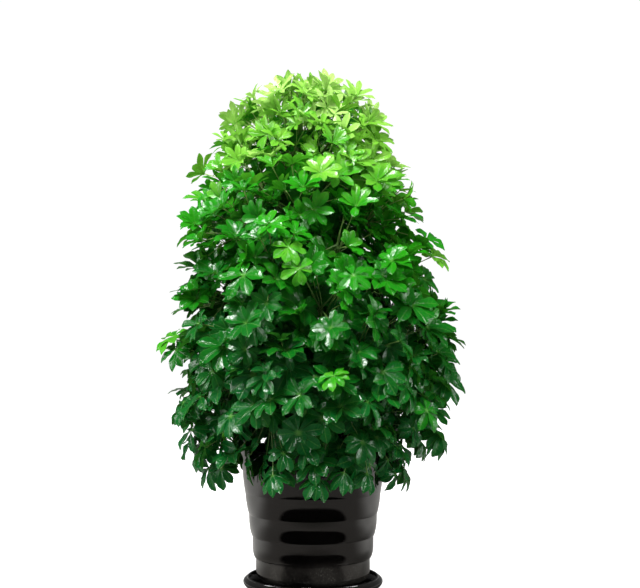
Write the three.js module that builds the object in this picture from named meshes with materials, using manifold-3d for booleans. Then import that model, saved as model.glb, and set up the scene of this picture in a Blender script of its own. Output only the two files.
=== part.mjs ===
// A potted umbrella plant, about 1.24 m tall: six woody canes stand in a tiered black pot on a saucer, and
// leafy shoots carry the umbrella leaves out to an egg-shaped crown that hangs over the pot's rim.
// Millimetres, +Z up. The origin is the centre of the saucer's underside, and the front looks along -Y.
import * as THREE from "three";
import { mergeVertices } from "three/addons/utils/BufferGeometryUtils.js";
import Module from "manifold-3d";

// ---------------------------------------------------------------- driving dimensions
const SEAT_GAP = 0.3; // between two pieces that rest on or in each other
const ROUND_STEPS = 32; // facets round the pot, the saucer and the soil

const SAUCER = {
  height: 36,
  baseRadius: 140,
  widestRadius: 165,
  widestHeight: 20,
  rimRadius: 157,
  wall: 4,
  floor: 4,
  wallSteps: 7,
  seatRadius: 111, // middle of the raised ring that carries the pot
  seatWidth: 8,
};

const POT = {
  underside: 28,
  top: 340,
  tierRadii: [136, 144.5, 153, 162, 168.5, 174], // from the lowest tier up
  lipHeight: 10, // each tier's rounded lower lip
  edgeRound: 19, // the rounding under the lowest tier
  taper: 1, // each tier's wall is this much narrower at its foot than its radius
  wall: 4,
  floor: 6,
  rimWidth: 7, // the wall is thicker here
  rimHeight: 9,
  rimBreak: 1.5, // the rim's edges are cut back by this much
  insideRound: 10, // the inside wall runs in by this much down to the floor
  drainRadius: 14,
};

const SOIL = { edgeTop: 300, middleTop: 307 };

const CANE = {
  count: 5, // stand in a ring round one more in the middle
  rootDepth: 70, // below the soil's top edge
  ringRadiusFoot: 46,
  ringRadiusBelly: 84,
  ringRadiusTop: 96,
  ringTop: 850, // of the first cane in the ring
  ringStep: 22, // each next one is this much shorter
  ringStart: 0.25, // of the angle between two canes, from +X to the first
  ringSway: 0.12, // radians that the canes bow to the left and right in turn
  middleTop: 985,
  middleBow: new THREE.Vector3(10, 6, 620),
  footRadius: 10,
  topRadius: 5.5,
  sides: 8,
  steps: 8,
};

const CROWN = {
  widest: 342, // radius of the surface on which the outermost leaf hubs lie
  widestHeight: 540,
  rise: 680, // from there to the top hub
  fall: 330,
  exponent: 1.7,
  lowest: 295, // height of the lowest hubs
  lean: -36, // sideways drift of the top
  leanFrom: 560,
  leanTo: 1060,
};

const SHOOT = {
  count: 42,
  tipDepth: 128, // from the crown's surface in to a shoot's tip
  turn: 0.8, // radians about the pot's axis, from the first leaf to the first shoot
  climb: 0.7, // height won for each millimetre outwards
  bendAt: 0.55, // of the way out
  sag: 0.1, // of its length, at the bend
  lowestSeat: 24, // above the soil
  highestSeat: 9, // below the cane's top
  seatStep: 8, // the shoots at a cane's top leave it at five heights
  footRadius: 3.8,
  tipRadius: 2.6,
  sides: 4,
  steps: 3,
};

const LEAF = {
  count: 172,
  leaflets: 7,
  radius: 53,
  notch: 0.42, // of the radius, between two leaflets
  thickness: 2.6,
  layers: 5, // the hubs lie at this many depths, so that neighbours pass over each other
  layerStep: 17,
  endRoom: 0.3, // the layers draw together to this share of their depth at the crown's bottom and top
  endShare: 0.2,
  lowTilt: 15, // degrees of the leaf's face above the horizon, at the bottom and at the top
  highTilt: 74,
  tiltSpread: 16,
  sideSpread: 0.3,
  lowDroop: 0.36, // of the radius, from the hub down to the tips; the top leaves are cupped
  highDroop: -0.3,
};

const PETIOLE = {
  firstNode: 0.97, // of the way along the shoot's stem
  nodeStep: 0.11,
  footRadius: 1.7,
  tipRadius: 0.85,
  sides: 3,
  steps: 2,
  bendAt: 0.6,
  reachBehind: 0.12, // of its length, at the bend, behind the leaf's face
  rise: 0.1, // of its length, at the bend
  tipOffset: 0.1, // of the leaf's radius, from the hub to where the petiole meets the leaf
};

const GOLDEN_ANGLE = Math.PI * (3 - Math.sqrt(5));

// ---------------------------------------------------------------- materials
const plastic = new THREE.MeshStandardMaterial({ color: 0x0b0b0c, roughness: 0.14, metalness: 0 });
const compost = new THREE.MeshStandardMaterial({ color: 0x2b2019, roughness: 0.95, metalness: 0 });
const bark = new THREE.MeshStandardMaterial({ color: 0x6a5a45, roughness: 0.8, metalness: 0 });

// The leaves run from deep green at the pot to pale lime at the top.
function leafMaterial(height) {
  const young = THREE.MathUtils.smoothstep(height, 620, 1150);
  const color = new THREE.Color(0x0a4a16).lerp(new THREE.Color(0x7fc023), young);
  return new THREE.MeshStandardMaterial({ color, roughness: 0.32, metalness: 0 });
}

// ---------------------------------------------------------------- solids
const wasm = await Module();
wasm.setup();

function toSolid(geometry) {
  const bare = geometry.index ? geometry.toNonIndexed() : geometry.clone();
  bare.deleteAttribute("normal");
  bare.deleteAttribute("uv");
  const merged = mergeVertices(bare, 1e-3);
  return new wasm.Manifold(
    new wasm.Mesh({
      numProp: 3,
      vertProperties: merged.attributes.position.array,
      triVerts: new Uint32Array(merged.index.array),
    }),
  );
}

function toGeometry(solid) {
  const mesh = solid.getMesh();
  const geometry = new THREE.BufferGeometry();
  geometry.setAttribute("position", new THREE.BufferAttribute(mesh.vertProperties, 3));
  geometry.setIndex(new THREE.BufferAttribute(mesh.triVerts, 1));
  geometry.computeVertexNormals();
  return geometry;
}

function named(name, geometry, material) {
  const mesh = new THREE.Mesh(geometry, material);
  mesh.name = name;
  return mesh;
}

// Turns an outline of [radius, height] pairs about the Z axis.
function turned(outline) {
  const points = outline.map(([radius, height]) => new THREE.Vector2(radius, height));
  return new THREE.LatheGeometry(points, ROUND_STEPS).rotateX(Math.PI / 2);
}

// Points of a quarter ellipse about (radius, height), from one angle to another, in degrees.
function quarter(radius, height, across, up, from, to, steps) {
  return Array.from({ length: steps + 1 }, (_, i) => {
    const angle = THREE.MathUtils.degToRad(from + ((to - from) * i) / steps);
    return [radius + across * Math.cos(angle), height + up * Math.sin(angle)];
  });
}

// A rod along a curve, thinning from one radius to the other.
function rod(curve, footRadius, tipRadius, sides, steps) {
  const section = new THREE.Shape();
  for (let i = 0; i < sides; i += 1) {
    const angle = (2 * Math.PI * i) / sides;
    section[i ? "lineTo" : "moveTo"](Math.cos(angle), Math.sin(angle));
  }
  section.closePath();
  const geometry = new THREE.ExtrudeGeometry(section, { steps, extrudePath: curve, bevelEnabled: false });
  const middles = curve.getSpacedPoints(steps);
  const position = geometry.attributes.position;
  const point = new THREE.Vector3();
  for (let i = 0; i < position.count; i += 1) {
    point.fromBufferAttribute(position, i);
    const distances = middles.map((middle) => middle.distanceTo(point));
    const nearest = distances.indexOf(Math.min(...distances));
    const radius = THREE.MathUtils.lerp(footRadius, tipRadius, nearest / steps);
    point.sub(middles[nearest]).multiplyScalar(radius).add(middles[nearest]);
    position.setXYZ(i, point.x, point.y, point.z);
  }
  return geometry;
}

// ---------------------------------------------------------------- saucer, pot and soil
function saucerOutline() {
  const { baseRadius, widestRadius, widestHeight, rimRadius, height, wall, wallSteps, floor } = SAUCER;
  const foot = new THREE.Vector2(baseRadius, 0);
  const belly = new THREE.Vector2(widestRadius, widestHeight);
  const rim = new THREE.Vector2(rimRadius, height);
  const bend = belly.clone().multiplyScalar(2).sub(foot.clone().add(rim).multiplyScalar(0.5));
  const wallCurve = new THREE.QuadraticBezierCurve(foot, bend, rim);
  const outside = wallCurve.getPoints(wallSteps).map(({ x, y }) => [x, y]);
  const inside = outside.slice(2).reverse().map(([radius, z]) => [radius - wall, z]);
  const seatInner = SAUCER.seatRadius - SAUCER.seatWidth / 2;
  const seatOuter = SAUCER.seatRadius + SAUCER.seatWidth / 2;
  const seatTop = POT.underside - SEAT_GAP;
  return [
    [0, 0],
    ...outside,
    ...inside,
    [baseRadius, floor],
    [seatOuter, floor],
    [seatOuter, seatTop],
    [seatInner, seatTop],
    [seatInner, floor],
    [0, floor],
  ];
}

const tierHeight = (POT.top - POT.underside) / POT.tierRadii.length;

// The outside of the pot from its underside up: each tier rolls in under its lip to the narrower one below.
function potOutside() {
  const lowest = POT.tierRadii[0];
  const round = POT.edgeRound;
  const outline = quarter(lowest - round, POT.underside + round, round - POT.taper, round, -90, 0, 4);
  POT.tierRadii.forEach((radius, i) => {
    const foot = POT.underside + i * tierHeight;
    if (i > 0) {
      const below = POT.tierRadii[i - 1];
      const overhang = radius - POT.taper - below;
      outline.push(...quarter(below, foot + POT.lipHeight, overhang, POT.lipHeight, -90, 0, 2));
    }
    outline.push([radius, i + 1 < POT.tierRadii.length ? foot + tierHeight : POT.top - POT.rimBreak]);
  });
  return outline;
}

// The inside wall, from the floor up to the rim, with the same steps as the tiers but sloped.
function potInside(gap) {
  const floor = POT.underside + POT.floor + gap;
  const steps = POT.tierRadii.slice(0, -1).map((radius, i) => [
    radius - POT.wall - gap,
    POT.underside + (i + 1) * tierHeight,
  ]);
  return [[POT.tierRadii[0] - POT.wall - POT.insideRound - gap, floor], ...steps];
}

function potOutline() {
  const widest = POT.tierRadii.at(-1);
  const rimInner = widest - POT.rimWidth;
  return [
    [POT.drainRadius, POT.underside],
    ...potOutside(),
    [widest - POT.rimBreak, POT.top],
    [rimInner + POT.rimBreak, POT.top],
    [rimInner, POT.top - POT.rimBreak],
    [rimInner, POT.top - POT.rimHeight],
    ...potInside(0).reverse(),
    [POT.drainRadius, POT.underside + POT.floor],
    [POT.drainRadius, POT.underside],
  ];
}

function soilOutline() {
  const wall = potInside(SEAT_GAP);
  const last = wall.at(-1);
  const rimInner = POT.tierRadii.at(-1) - POT.rimWidth - SEAT_GAP;
  const slope = (rimInner - last[0]) / (POT.top - POT.rimHeight - last[1]);
  const edge = last[0] + slope * (SOIL.edgeTop - last[1]);
  return [[0, wall[0][1]], ...wall, [edge, SOIL.edgeTop], [0, SOIL.middleTop]];
}

// ---------------------------------------------------------------- crown
function crownRadius(height) {
  const above = height - CROWN.widestHeight;
  const part = above > 0 ? above / CROWN.rise : -above / CROWN.fall;
  return CROWN.widest * Math.sqrt(Math.max(0, 1 - part ** CROWN.exponent));
}

// Heights that share the crown's surface into equal rings, from the bottom up.
const RINGS = 500;
const crownTop = CROWN.widestHeight + CROWN.rise;
const ringAreas = [0];
for (let i = 1; i <= RINGS; i += 1) {
  const low = CROWN.lowest + ((crownTop - CROWN.lowest) * (i - 1)) / RINGS;
  const high = CROWN.lowest + ((crownTop - CROWN.lowest) * i) / RINGS;
  const slant = Math.hypot(high - low, crownRadius(high) - crownRadius(low));
  ringAreas.push(ringAreas[i - 1] + (slant * (crownRadius(high) + crownRadius(low))) / 2);
}

function heightAt(share) {
  const wanted = share * ringAreas[RINGS];
  const ring = ringAreas.findIndex((area) => area >= wanted);
  const part = (wanted - ringAreas[ring - 1]) / (ringAreas[ring] - ringAreas[ring - 1]);
  return CROWN.lowest + ((crownTop - CROWN.lowest) * (ring - 1 + part)) / RINGS;
}

function lean(height) {
  return CROWN.lean * THREE.MathUtils.smoothstep(height, CROWN.leanFrom, CROWN.leanTo);
}

// The place of number i of count on the crown, this deep under its surface, before the crown leans.
function crownPlace(i, count, depth, turn) {
  const height = heightAt((i + 0.5) / count);
  const angle = i * GOLDEN_ANGLE + turn;
  const outward = new THREE.Vector3(Math.cos(angle), Math.sin(angle), 0);
  const slope = (crownRadius(height + 1) - crownRadius(height - 1)) / 2;
  const normal = outward.clone().addScaledVector(new THREE.Vector3(0, 0, 1), -slope).normalize();
  const place = outward.clone().multiplyScalar(crownRadius(height)).setZ(height);
  place.addScaledVector(normal, -depth);
  return { height, outward, normal, place };
}

// A number between -0.5 and 0.5 that wanders evenly as i goes up, in a way of its own for each ratio.
const TILT_RATIO = 0.7549;
const SIDE_RATIO = 0.5698;
function wander(i, ratio) {
  return (((i + 1) * ratio) % 1) - 0.5;
}

// ---------------------------------------------------------------- canes
function caneCurve(k) {
  const foot = SOIL.edgeTop - CANE.rootDepth;
  if (k === CANE.count) {
    const tip = new THREE.Vector3(lean(CANE.middleTop), 0, CANE.middleTop);
    return new THREE.QuadraticBezierCurve3(new THREE.Vector3(0, 0, foot), CANE.middleBow, tip);
  }
  const angle = (2 * Math.PI * (k + CANE.ringStart)) / CANE.count;
  const at = (radius, height, turn) =>
    new THREE.Vector3(
      radius * Math.cos(angle + turn) + lean(height),
      radius * Math.sin(angle + turn),
      height,
    );
  const top = CANE.ringTop - CANE.ringStep * k;
  return new THREE.QuadraticBezierCurve3(
    at(CANE.ringRadiusFoot, foot, 0),
    at(CANE.ringRadiusBelly, (foot + top) / 2, CANE.ringSway * (-1) ** k),
    at(CANE.ringRadiusTop, top, 0),
  );
}

const caneCurves = Array.from({ length: CANE.count + 1 }, (_, k) => caneCurve(k));

// A cane, or with a gap the room that it needs: this much wider, and longer at both ends.
function caneRod({ v0, v1, v2 }, gap) {
  const { footRadius, topRadius, sides, steps } = CANE;
  const foot = v0.clone().addScaledVector(v0.clone().sub(v1).normalize(), gap);
  const top = v2.clone().addScaledVector(v2.clone().sub(v1).normalize(), gap);
  const path = new THREE.QuadraticBezierCurve3(foot, v1, top);
  return rod(path, footRadius + gap, topRadius + gap, sides, steps);
}

// The point of a cane at this height.
function caneAt(curve, height) {
  const { v0, v2 } = curve;
  return curve.getPoint(THREE.MathUtils.clamp((height - v0.z) / (v2.z - v0.z), 0, 1));
}

// ---------------------------------------------------------------- shoots and leaves
const UP = new THREE.Vector3(0, 0, 1);

function shootPath(s) {
  const { place } = crownPlace(s, SHOOT.count, SHOOT.tipDepth, SHOOT.turn);
  const tip = place.clone();
  tip.x += lean(tip.z);
  const seats = caneCurves.map((curve) => {
    const level = caneAt(curve, tip.z);
    const reach = Math.hypot(tip.x - level.x, tip.y - level.y);
    const height = THREE.MathUtils.clamp(
      tip.z - SHOOT.climb * reach,
      SOIL.middleTop + SHOOT.lowestSeat,
      curve.v2.z - SHOOT.highestSeat - SHOOT.seatStep * (s % 5),
    );
    const seat = caneAt(curve, height);
    return { seat, distance: seat.distanceTo(tip) };
  });
  const { seat } = seats.reduce((best, one) => (one.distance < best.distance ? one : best));
  const bend = seat.clone().lerp(tip, SHOOT.bendAt).addScaledVector(UP, -SHOOT.sag * seat.distanceTo(tip));
  return new THREE.QuadraticBezierCurve3(seat, bend, tip);
}

const shootPaths = Array.from({ length: SHOOT.count }, (_, s) => shootPath(s));

function leafPlace(i) {
  const share = (crownPlace(i, LEAF.count, 0, 0).height - CROWN.lowest) / (crownTop - CROWN.lowest);
  const fromEnd = THREE.MathUtils.smoothstep(Math.min(share, 1 - share), 0, LEAF.endShare);
  const layer = ((2 * i) % LEAF.layers) * LEAF.layerStep * THREE.MathUtils.lerp(LEAF.endRoom, 1, fromEnd);
  const { outward, place } = crownPlace(i, LEAF.count, layer, 0);
  place.x += lean(place.z);
  const tilt = THREE.MathUtils.lerp(LEAF.lowTilt, LEAF.highTilt, share);
  const angle = THREE.MathUtils.degToRad(tilt + LEAF.tiltSpread * wander(i, TILT_RATIO));
  const side = new THREE.Vector3().crossVectors(UP, outward);
  const face = outward.clone().multiplyScalar(Math.cos(angle)).addScaledVector(UP, Math.sin(angle));
  face.addScaledVector(side, LEAF.sideSpread * wander(i, SIDE_RATIO)).normalize();
  return { hub: place, face, droop: THREE.MathUtils.lerp(LEAF.lowDroop, LEAF.highDroop, share) };
}

// A star of leaflets round its hub, thickest at the hub, with the hub at the origin and its face along +Z.
function umbrella(droop, turn) {
  const geometry = new THREE.SphereGeometry(1, 2 * LEAF.leaflets, 2).rotateX(Math.PI / 2);
  const position = geometry.attributes.position;
  for (let i = 0; i < position.count; i += 1) {
    const x = position.getX(i);
    const y = position.getY(i);
    if (Math.hypot(x, y) < 0.5) {
      position.setXYZ(i, 0, 0, (Math.sign(position.getZ(i)) * LEAF.thickness) / 2);
    } else {
      const corner = Math.round((Math.atan2(y, x) * LEAF.leaflets) / Math.PI);
      const reach = LEAF.radius * (corner % 2 ? LEAF.notch : 1);
      const angle = (corner * Math.PI) / LEAF.leaflets + turn;
      position.setXYZ(i, reach * Math.cos(angle), reach * Math.sin(angle), -droop * reach);
    }
  }
  return geometry;
}

// One leaf, turned about its hub by its number in radians, with its petiole from the stem.
function leafSolid({ hub, face, droop }, i, stemPoint) {
  const turnToFace = new THREE.Quaternion().setFromUnitVectors(UP, face);
  const star = umbrella(droop, i).applyQuaternion(turnToFace).translate(hub.x, hub.y, hub.z);
  const offset = PETIOLE.tipOffset * LEAF.radius;
  const tip = new THREE.Vector3(offset * Math.cos(i), offset * Math.sin(i), -droop * offset);
  tip.applyQuaternion(turnToFace).add(hub);
  const length = hub.distanceTo(stemPoint);
  const bend = stemPoint.clone().lerp(hub, PETIOLE.bendAt);
  bend.addScaledVector(face, -PETIOLE.reachBehind * length).addScaledVector(UP, PETIOLE.rise * length);
  const path = new THREE.QuadraticBezierCurve3(stemPoint, bend, tip);
  const petiole = rod(path, PETIOLE.footRadius, PETIOLE.tipRadius, PETIOLE.sides, PETIOLE.steps);
  return toSolid(petiole).add(toSolid(star));
}

// ---------------------------------------------------------------- assembly
const group = new THREE.Group();
group.add(named("saucer", turned(saucerOutline()), plastic));
group.add(named("pot", turned(potOutline()), plastic));

let soil = toSolid(turned(soilOutline()));
caneCurves.forEach((curve, k) => {
  soil = soil.subtract(toSolid(caneRod(curve, SEAT_GAP)));
  group.add(named(`cane_${k + 1}`, caneRod(curve, 0), bark));
});
group.add(named("soil", toGeometry(soil), compost));

const seats = wasm.Manifold.union(caneCurves.map((curve) => toSolid(caneRod(curve, SEAT_GAP))));
const leaves = Array.from({ length: LEAF.count }, (_, i) => leafPlace(i));
const leavesOf = shootPaths.map(() => []);
leaves.forEach((leaf, i) => {
  const distances = shootPaths.map((path) => path.v2.distanceTo(leaf.hub));
  leavesOf[distances.indexOf(Math.min(...distances))].push(i);
});
shootPaths.forEach((path, s) => {
  const { footRadius, tipRadius, sides, steps } = SHOOT;
  let shoot = toSolid(rod(path, footRadius, tipRadius, sides, steps)).subtract(seats);
  leavesOf[s].forEach((i, order) => {
    const stemPoint = path.getPoint(PETIOLE.firstNode - PETIOLE.nodeStep * order);
    shoot = shoot.add(leafSolid(leaves[i], i, stemPoint));
  });
  const name = `shoot_${String(s + 1).padStart(2, "0")}`;
  group.add(named(name, toGeometry(shoot), leafMaterial(path.v2.z)));
});

export default group;
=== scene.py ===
"""Looks of a potted umbrella plant: a bushy crown of glossy leaves, in a tiered black pot on a saucer.

All lengths are in metres, +Z is up, and the origin is the centre of the saucer's underside.
"""

from __future__ import annotations

import logging
import math
from dataclasses import dataclass
from enum import Enum
from functools import cached_property
from typing import Any

import bpy
import numpy as np
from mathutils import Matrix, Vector

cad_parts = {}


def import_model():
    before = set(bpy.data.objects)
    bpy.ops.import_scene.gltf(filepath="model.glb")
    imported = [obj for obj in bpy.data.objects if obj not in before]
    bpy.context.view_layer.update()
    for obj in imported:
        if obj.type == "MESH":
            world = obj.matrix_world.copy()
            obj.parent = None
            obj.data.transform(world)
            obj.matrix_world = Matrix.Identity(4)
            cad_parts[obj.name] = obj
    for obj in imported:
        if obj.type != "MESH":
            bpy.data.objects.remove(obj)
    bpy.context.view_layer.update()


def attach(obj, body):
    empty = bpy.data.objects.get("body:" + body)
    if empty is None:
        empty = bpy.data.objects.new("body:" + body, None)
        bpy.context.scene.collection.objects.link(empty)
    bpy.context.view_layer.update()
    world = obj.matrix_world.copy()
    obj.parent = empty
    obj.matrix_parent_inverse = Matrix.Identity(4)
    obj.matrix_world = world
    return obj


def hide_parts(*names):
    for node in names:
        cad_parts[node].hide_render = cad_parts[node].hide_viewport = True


LOG = logging.getLogger("umbrella_plant")
BODY = "root"
UP = Vector((0.0, 0.0, 1.0))
TURN = 2 * math.pi
GOLDEN_ANGLE = math.pi * (3 - math.sqrt(5))
Colour = tuple[float, float, float, float]
Place = tuple[float, float, float]
Span = tuple[float, float]
Outline = list[tuple[float, float]]
NOISE_ROUGHNESS = 0.55
CRUMB_TURN = 6.28
BLACK: Colour = (0.0, 0.0, 0.0, 1.0)
WHITE: Colour = (1.0, 1.0, 1.0, 1.0)


# ---------------------------------------------------------------- small tools
def limited(value: float, low: float, high: float) -> float:
    """Keeps a number between two others."""
    return min(high, max(low, value))


def smooth_step(value: float, low: float, high: float) -> float:
    """Rises smoothly from 0 at low to 1 at high."""
    part = limited((value - low) / (high - low), 0.0, 1.0)
    return part * part * (3 - 2 * part)


def blend(low: float, high: float, part: float) -> float:
    """The number this part of the way from low to high."""
    return low + (high - low) * part


def steps_of(count: int) -> list[float]:
    """The numbers from 0 to 1 in this many equal steps."""
    return [i / count for i in range(count + 1)]


def wander(i: int, ratio: float) -> float:
    """A number between -0.5 and 0.5 that wanders evenly as i goes up."""
    return ((i + 1) * ratio) % 1 - 0.5


def link_object(name: str, data: bpy.types.ID) -> bpy.types.Object:
    """Puts a mesh, light or camera in the scene as an object at the origin.

    Args:
        name: the object's name.
        data: the mesh, light or camera.

    Returns:
        The object.
    """
    made = bpy.data.objects.new(name, data)
    bpy.context.scene.collection.objects.link(made)
    return made


def mesh_of(name: str, points: Any, faces: Any, edges: Any = ()) -> bpy.types.Mesh:
    """Makes a mesh.

    Args:
        name: the mesh's name.
        points: its points.
        faces: the point numbers of each face.
        edges: the point numbers of each edge that no face has.

    Returns:
        The mesh.
    """
    mesh = bpy.data.meshes.new(name)
    mesh.from_pydata([tuple(p) for p in points], list(edges), [tuple(f) for f in faces])
    mesh.update()
    return mesh


def smooth(mesh: bpy.types.Mesh, sharp: float) -> bpy.types.Mesh:
    """Shades a mesh smooth, but for its sharp edges.

    Args:
        mesh: the mesh.
        sharp: the angle between faces, in degrees, past which an edge is sharp.

    Returns:
        The same mesh.
    """
    mesh.shade_smooth()
    mesh.set_sharp_from_angle(angle=math.radians(sharp))
    return mesh


def put_attribute(mesh: bpy.types.Mesh, name: str, values: np.ndarray) -> None:
    """Stores one number or one vector for each point of a mesh.

    Args:
        mesh: the mesh.
        name: the attribute's name.
        values: an array of shape (points,) or (points, 3).
    """
    kind, key = ("FLOAT", "value") if values.ndim == 1 else ("FLOAT_VECTOR", "vector")
    attribute = mesh.attributes.new(name, kind, "POINT")
    attribute.data.foreach_set(key, np.ascontiguousarray(values, dtype=np.float32).ravel())


def turned(name: str, outline: Outline, segments: int, sharp: float) -> bpy.types.Mesh:
    """Turns an outline about the Z axis into a closed smooth mesh.

    Args:
        name: the mesh's name.
        outline: radius and height pairs, anticlockwise with the axis on the left. A radius of 0 is a pole.
        segments: how many segments the full turn has.
        sharp: the angle between faces, in degrees, past which an edge is sharp.

    Returns:
        The mesh, with its faces pointing outwards.
    """
    angles = [TURN * i / segments for i in range(segments)]
    points: list[Place] = []
    rings: list[list[int]] = []
    for radius, height in outline:
        start = len(points)
        if radius == 0:
            points.append((0.0, 0.0, height))
            rings.append([start] * segments)
        else:
            points += [(radius * math.cos(a), radius * math.sin(a), height) for a in angles]
            rings.append(list(range(start, start + segments)))
    pairs = list(zip(rings, rings[1:]))
    if outline[0][0] != 0:
        pairs.append((rings[-1], rings[0]))
    faces = []
    for low, high in pairs:
        for i in range(segments):
            j = (i + 1) % segments
            face = list(dict.fromkeys((low[i], low[j], high[j], high[i])))
            if len(face) > 2:
                faces.append(face)
    return smooth(mesh_of(name, points, faces), sharp)


def arc(centre: Span, across: float, up: float, start: float, end: float, steps: int) -> Outline:
    """Finds points on a stretch of an ellipse.

    Args:
        centre: the ellipse's middle.
        across: its half width.
        up: its half height.
        start: the angle of the first point, in degrees.
        end: the angle of the last point, in degrees.
        steps: how many steps lie between them.

    Returns:
        The points.
    """
    angles = [math.radians(blend(start, end, part)) for part in steps_of(steps)]
    return [(centre[0] + across * math.cos(a), centre[1] + up * math.sin(a)) for a in angles]


@dataclass(frozen=True)
class Bezier:
    """A quadratic curve from its foot to its tip."""

    foot: Vector
    bend: Vector
    tip: Vector

    def at(self, part: float) -> Vector:
        """The point this part of the way along."""
        rest = 1 - part
        return self.foot * (rest * rest) + self.bend * (2 * rest * part) + self.tip * (part * part)

    def points(self, steps: int) -> list[Vector]:
        """The points of this many equal steps of the parameter."""
        return [self.at(part) for part in steps_of(steps)]


# ---------------------------------------------------------------- node trees
class Value:
    """An output of a node. Sums written with numbers of this kind add the nodes that work them out."""

    def __init__(self, graph: Graph, socket: bpy.types.NodeSocket) -> None:
        """Keeps the output, and the graph that its sums go into."""
        self.graph = graph
        self.socket = socket

    def __add__(self, other: Value | float) -> Value:
        """A sum."""
        return self.graph.math("ADD", self, other)

    def __sub__(self, other: Value | float) -> Value:
        """A difference."""
        return self.graph.math("SUBTRACT", self, other)

    def __rsub__(self, other: float) -> Value:
        """A difference from a constant."""
        return self.graph.math("SUBTRACT", other, self)

    def __mul__(self, other: Value | float) -> Value:
        """A product."""
        return self.graph.math("MULTIPLY", self, other)

    def __truediv__(self, other: Value | float) -> Value:
        """A quotient."""
        return self.graph.math("DIVIDE", self, other)

    def __pow__(self, other: Value | float) -> Value:
        """A power."""
        return self.graph.math("POWER", self, other)

    def __abs__(self) -> Value:
        """The number without its sign."""
        return self.graph.math("ABSOLUTE", self)

    def clamped(self) -> Value:
        """The same number, now kept between 0 and 1 by the node that works it out."""
        self.socket.node.use_clamp = True
        return self


class Node:
    """A node of a graph."""

    def __init__(self, graph: Graph, node: bpy.types.Node) -> None:
        """Keeps the node and its graph."""
        self.graph = graph
        self.node = node

    def __getitem__(self, key: str | int) -> Value:
        """The output with this name or number."""
        return Value(self.graph, self.node.outputs[key])

    def feed(self, inputs: dict[Any, Any]) -> None:
        """Links or sets some inputs.

        Args:
            inputs: what each input gets, by its name or number: a value to link, or a constant.
        """
        for key, value in inputs.items():
            socket = self.node.inputs[key]
            if isinstance(value, Value):
                self.graph.tree.links.new(value.socket, socket)
            else:
                socket.default_value = value


class Graph:
    """Short calls that add the nodes of one node tree."""

    def __init__(self, tree: bpy.types.NodeTree) -> None:
        """Wraps a tree."""
        self.tree = tree

    def add(self, kind: str, inputs: dict[Any, Any] | None = None, **settings: Any) -> Node:
        """Adds a node.

        Args:
            kind: the node's type.
            inputs: what each input gets, as Node.feed takes it.
            **settings: properties of the node, set before its inputs.

        Returns:
            The node.
        """
        node = Node(self, self.tree.nodes.new(kind))
        for name, value in settings.items():
            setattr(node.node, name, value)
        node.feed(inputs or {})
        return node

    def existing(self, name: str) -> Node:
        """The node that the tree already has under this name."""
        return Node(self, self.tree.nodes[name])

    def math(self, operation: str, *values: Any) -> Value:
        """The result of a math node."""
        return self.add("ShaderNodeMath", dict(enumerate(values)), operation=operation)[0]

    def vector(self, operation: str, *values: Any) -> Value:
        """The result of a vector math node."""
        return self.add("ShaderNodeVectorMath", dict(enumerate(values)), operation=operation)[0]

    def scaled(self, vector: Value, amount: Value) -> Value:
        """A vector times a number."""
        return self.add("ShaderNodeVectorMath", {0: vector, "Scale": amount}, operation="SCALE")[0]

    def split(self, vector: Value) -> Node:
        """The node that gives a vector's X, Y and Z."""
        return self.add("ShaderNodeSeparateXYZ", {0: vector})

    def attribute(self, name: str, output: str = "Fac") -> Value:
        """What a mesh's attribute holds."""
        return self.add("ShaderNodeAttribute", attribute_name=name)[output]

    def ramped(self, value: Value, low: Any, high: Any, to_low: float = 0.0, to_high: float = 1.0) -> Value:
        """Maps a number smoothly from one range to another.

        Args:
            value: the number.
            low: where it starts to change.
            high: where it stops changing.
            to_low: the result up to low.
            to_high: the result from high on.

        Returns:
            The result.
        """
        inputs = {"Value": value, "From Min": low, "From Max": high, "To Min": to_low, "To Max": to_high}
        return self.add("ShaderNodeMapRange", inputs, interpolation_type="SMOOTHSTEP")[0]

    def noise(self, vector: Value, scale: Any, detail: float = 3.0) -> Value:
        """The grey value of a noise texture."""
        inputs = {"Vector": vector, "Scale": scale, "Detail": detail, "Roughness": NOISE_ROUGHNESS}
        return self.add("ShaderNodeTexNoise", inputs)["Fac"]

    def mixed(self, part: Any, first: Any, second: Any) -> Value:
        """A mix of two colours, which are inputs 6 and 7 of the node, as output 2 gives it."""
        inputs = {0: part, 6: first, 7: second}
        return self.add("ShaderNodeMix", inputs, data_type="RGBA", clamp_factor=True)[2]

    def ramp(self, value: Value, places: tuple[float, ...], colours: tuple[Colour, ...]) -> Value:
        """Adds a colour ramp.

        Args:
            value: what goes into it.
            places: the place of each stop.
            colours: the colour of each stop.

        Returns:
            Its colour.
        """
        node = self.add("ShaderNodeValToRGB", {0: value})
        elements = node.node.color_ramp.elements
        while len(elements) < len(places):
            elements.new(1.0)
        for element, place, colour in zip(elements, places, colours):
            element.position = place
            element.color = colour
        return node["Color"]


class Way(Enum):
    """Which side of a node group a socket is on."""

    IN = "INPUT"
    OUT = "OUTPUT"


class Sort(Enum):
    """What a node group's socket carries."""

    NUMBER = "NodeSocketFloat"
    COUNT = "NodeSocketInt"
    VECTOR = "NodeSocketVector"
    FINISH = "NodeSocketMaterial"
    SHAPE = "NodeSocketGeometry"

    @classmethod
    def of(cls, value: Any) -> Sort:
        """Finds the sort of an input.

        Args:
            value: the input's default, or the sort that stands in for one.

        Returns:
            The sort.
        """
        if isinstance(value, cls):
            return value
        if isinstance(value, bpy.types.Material):
            return cls.FINISH
        return cls.COUNT if isinstance(value, int) else cls.NUMBER


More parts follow.
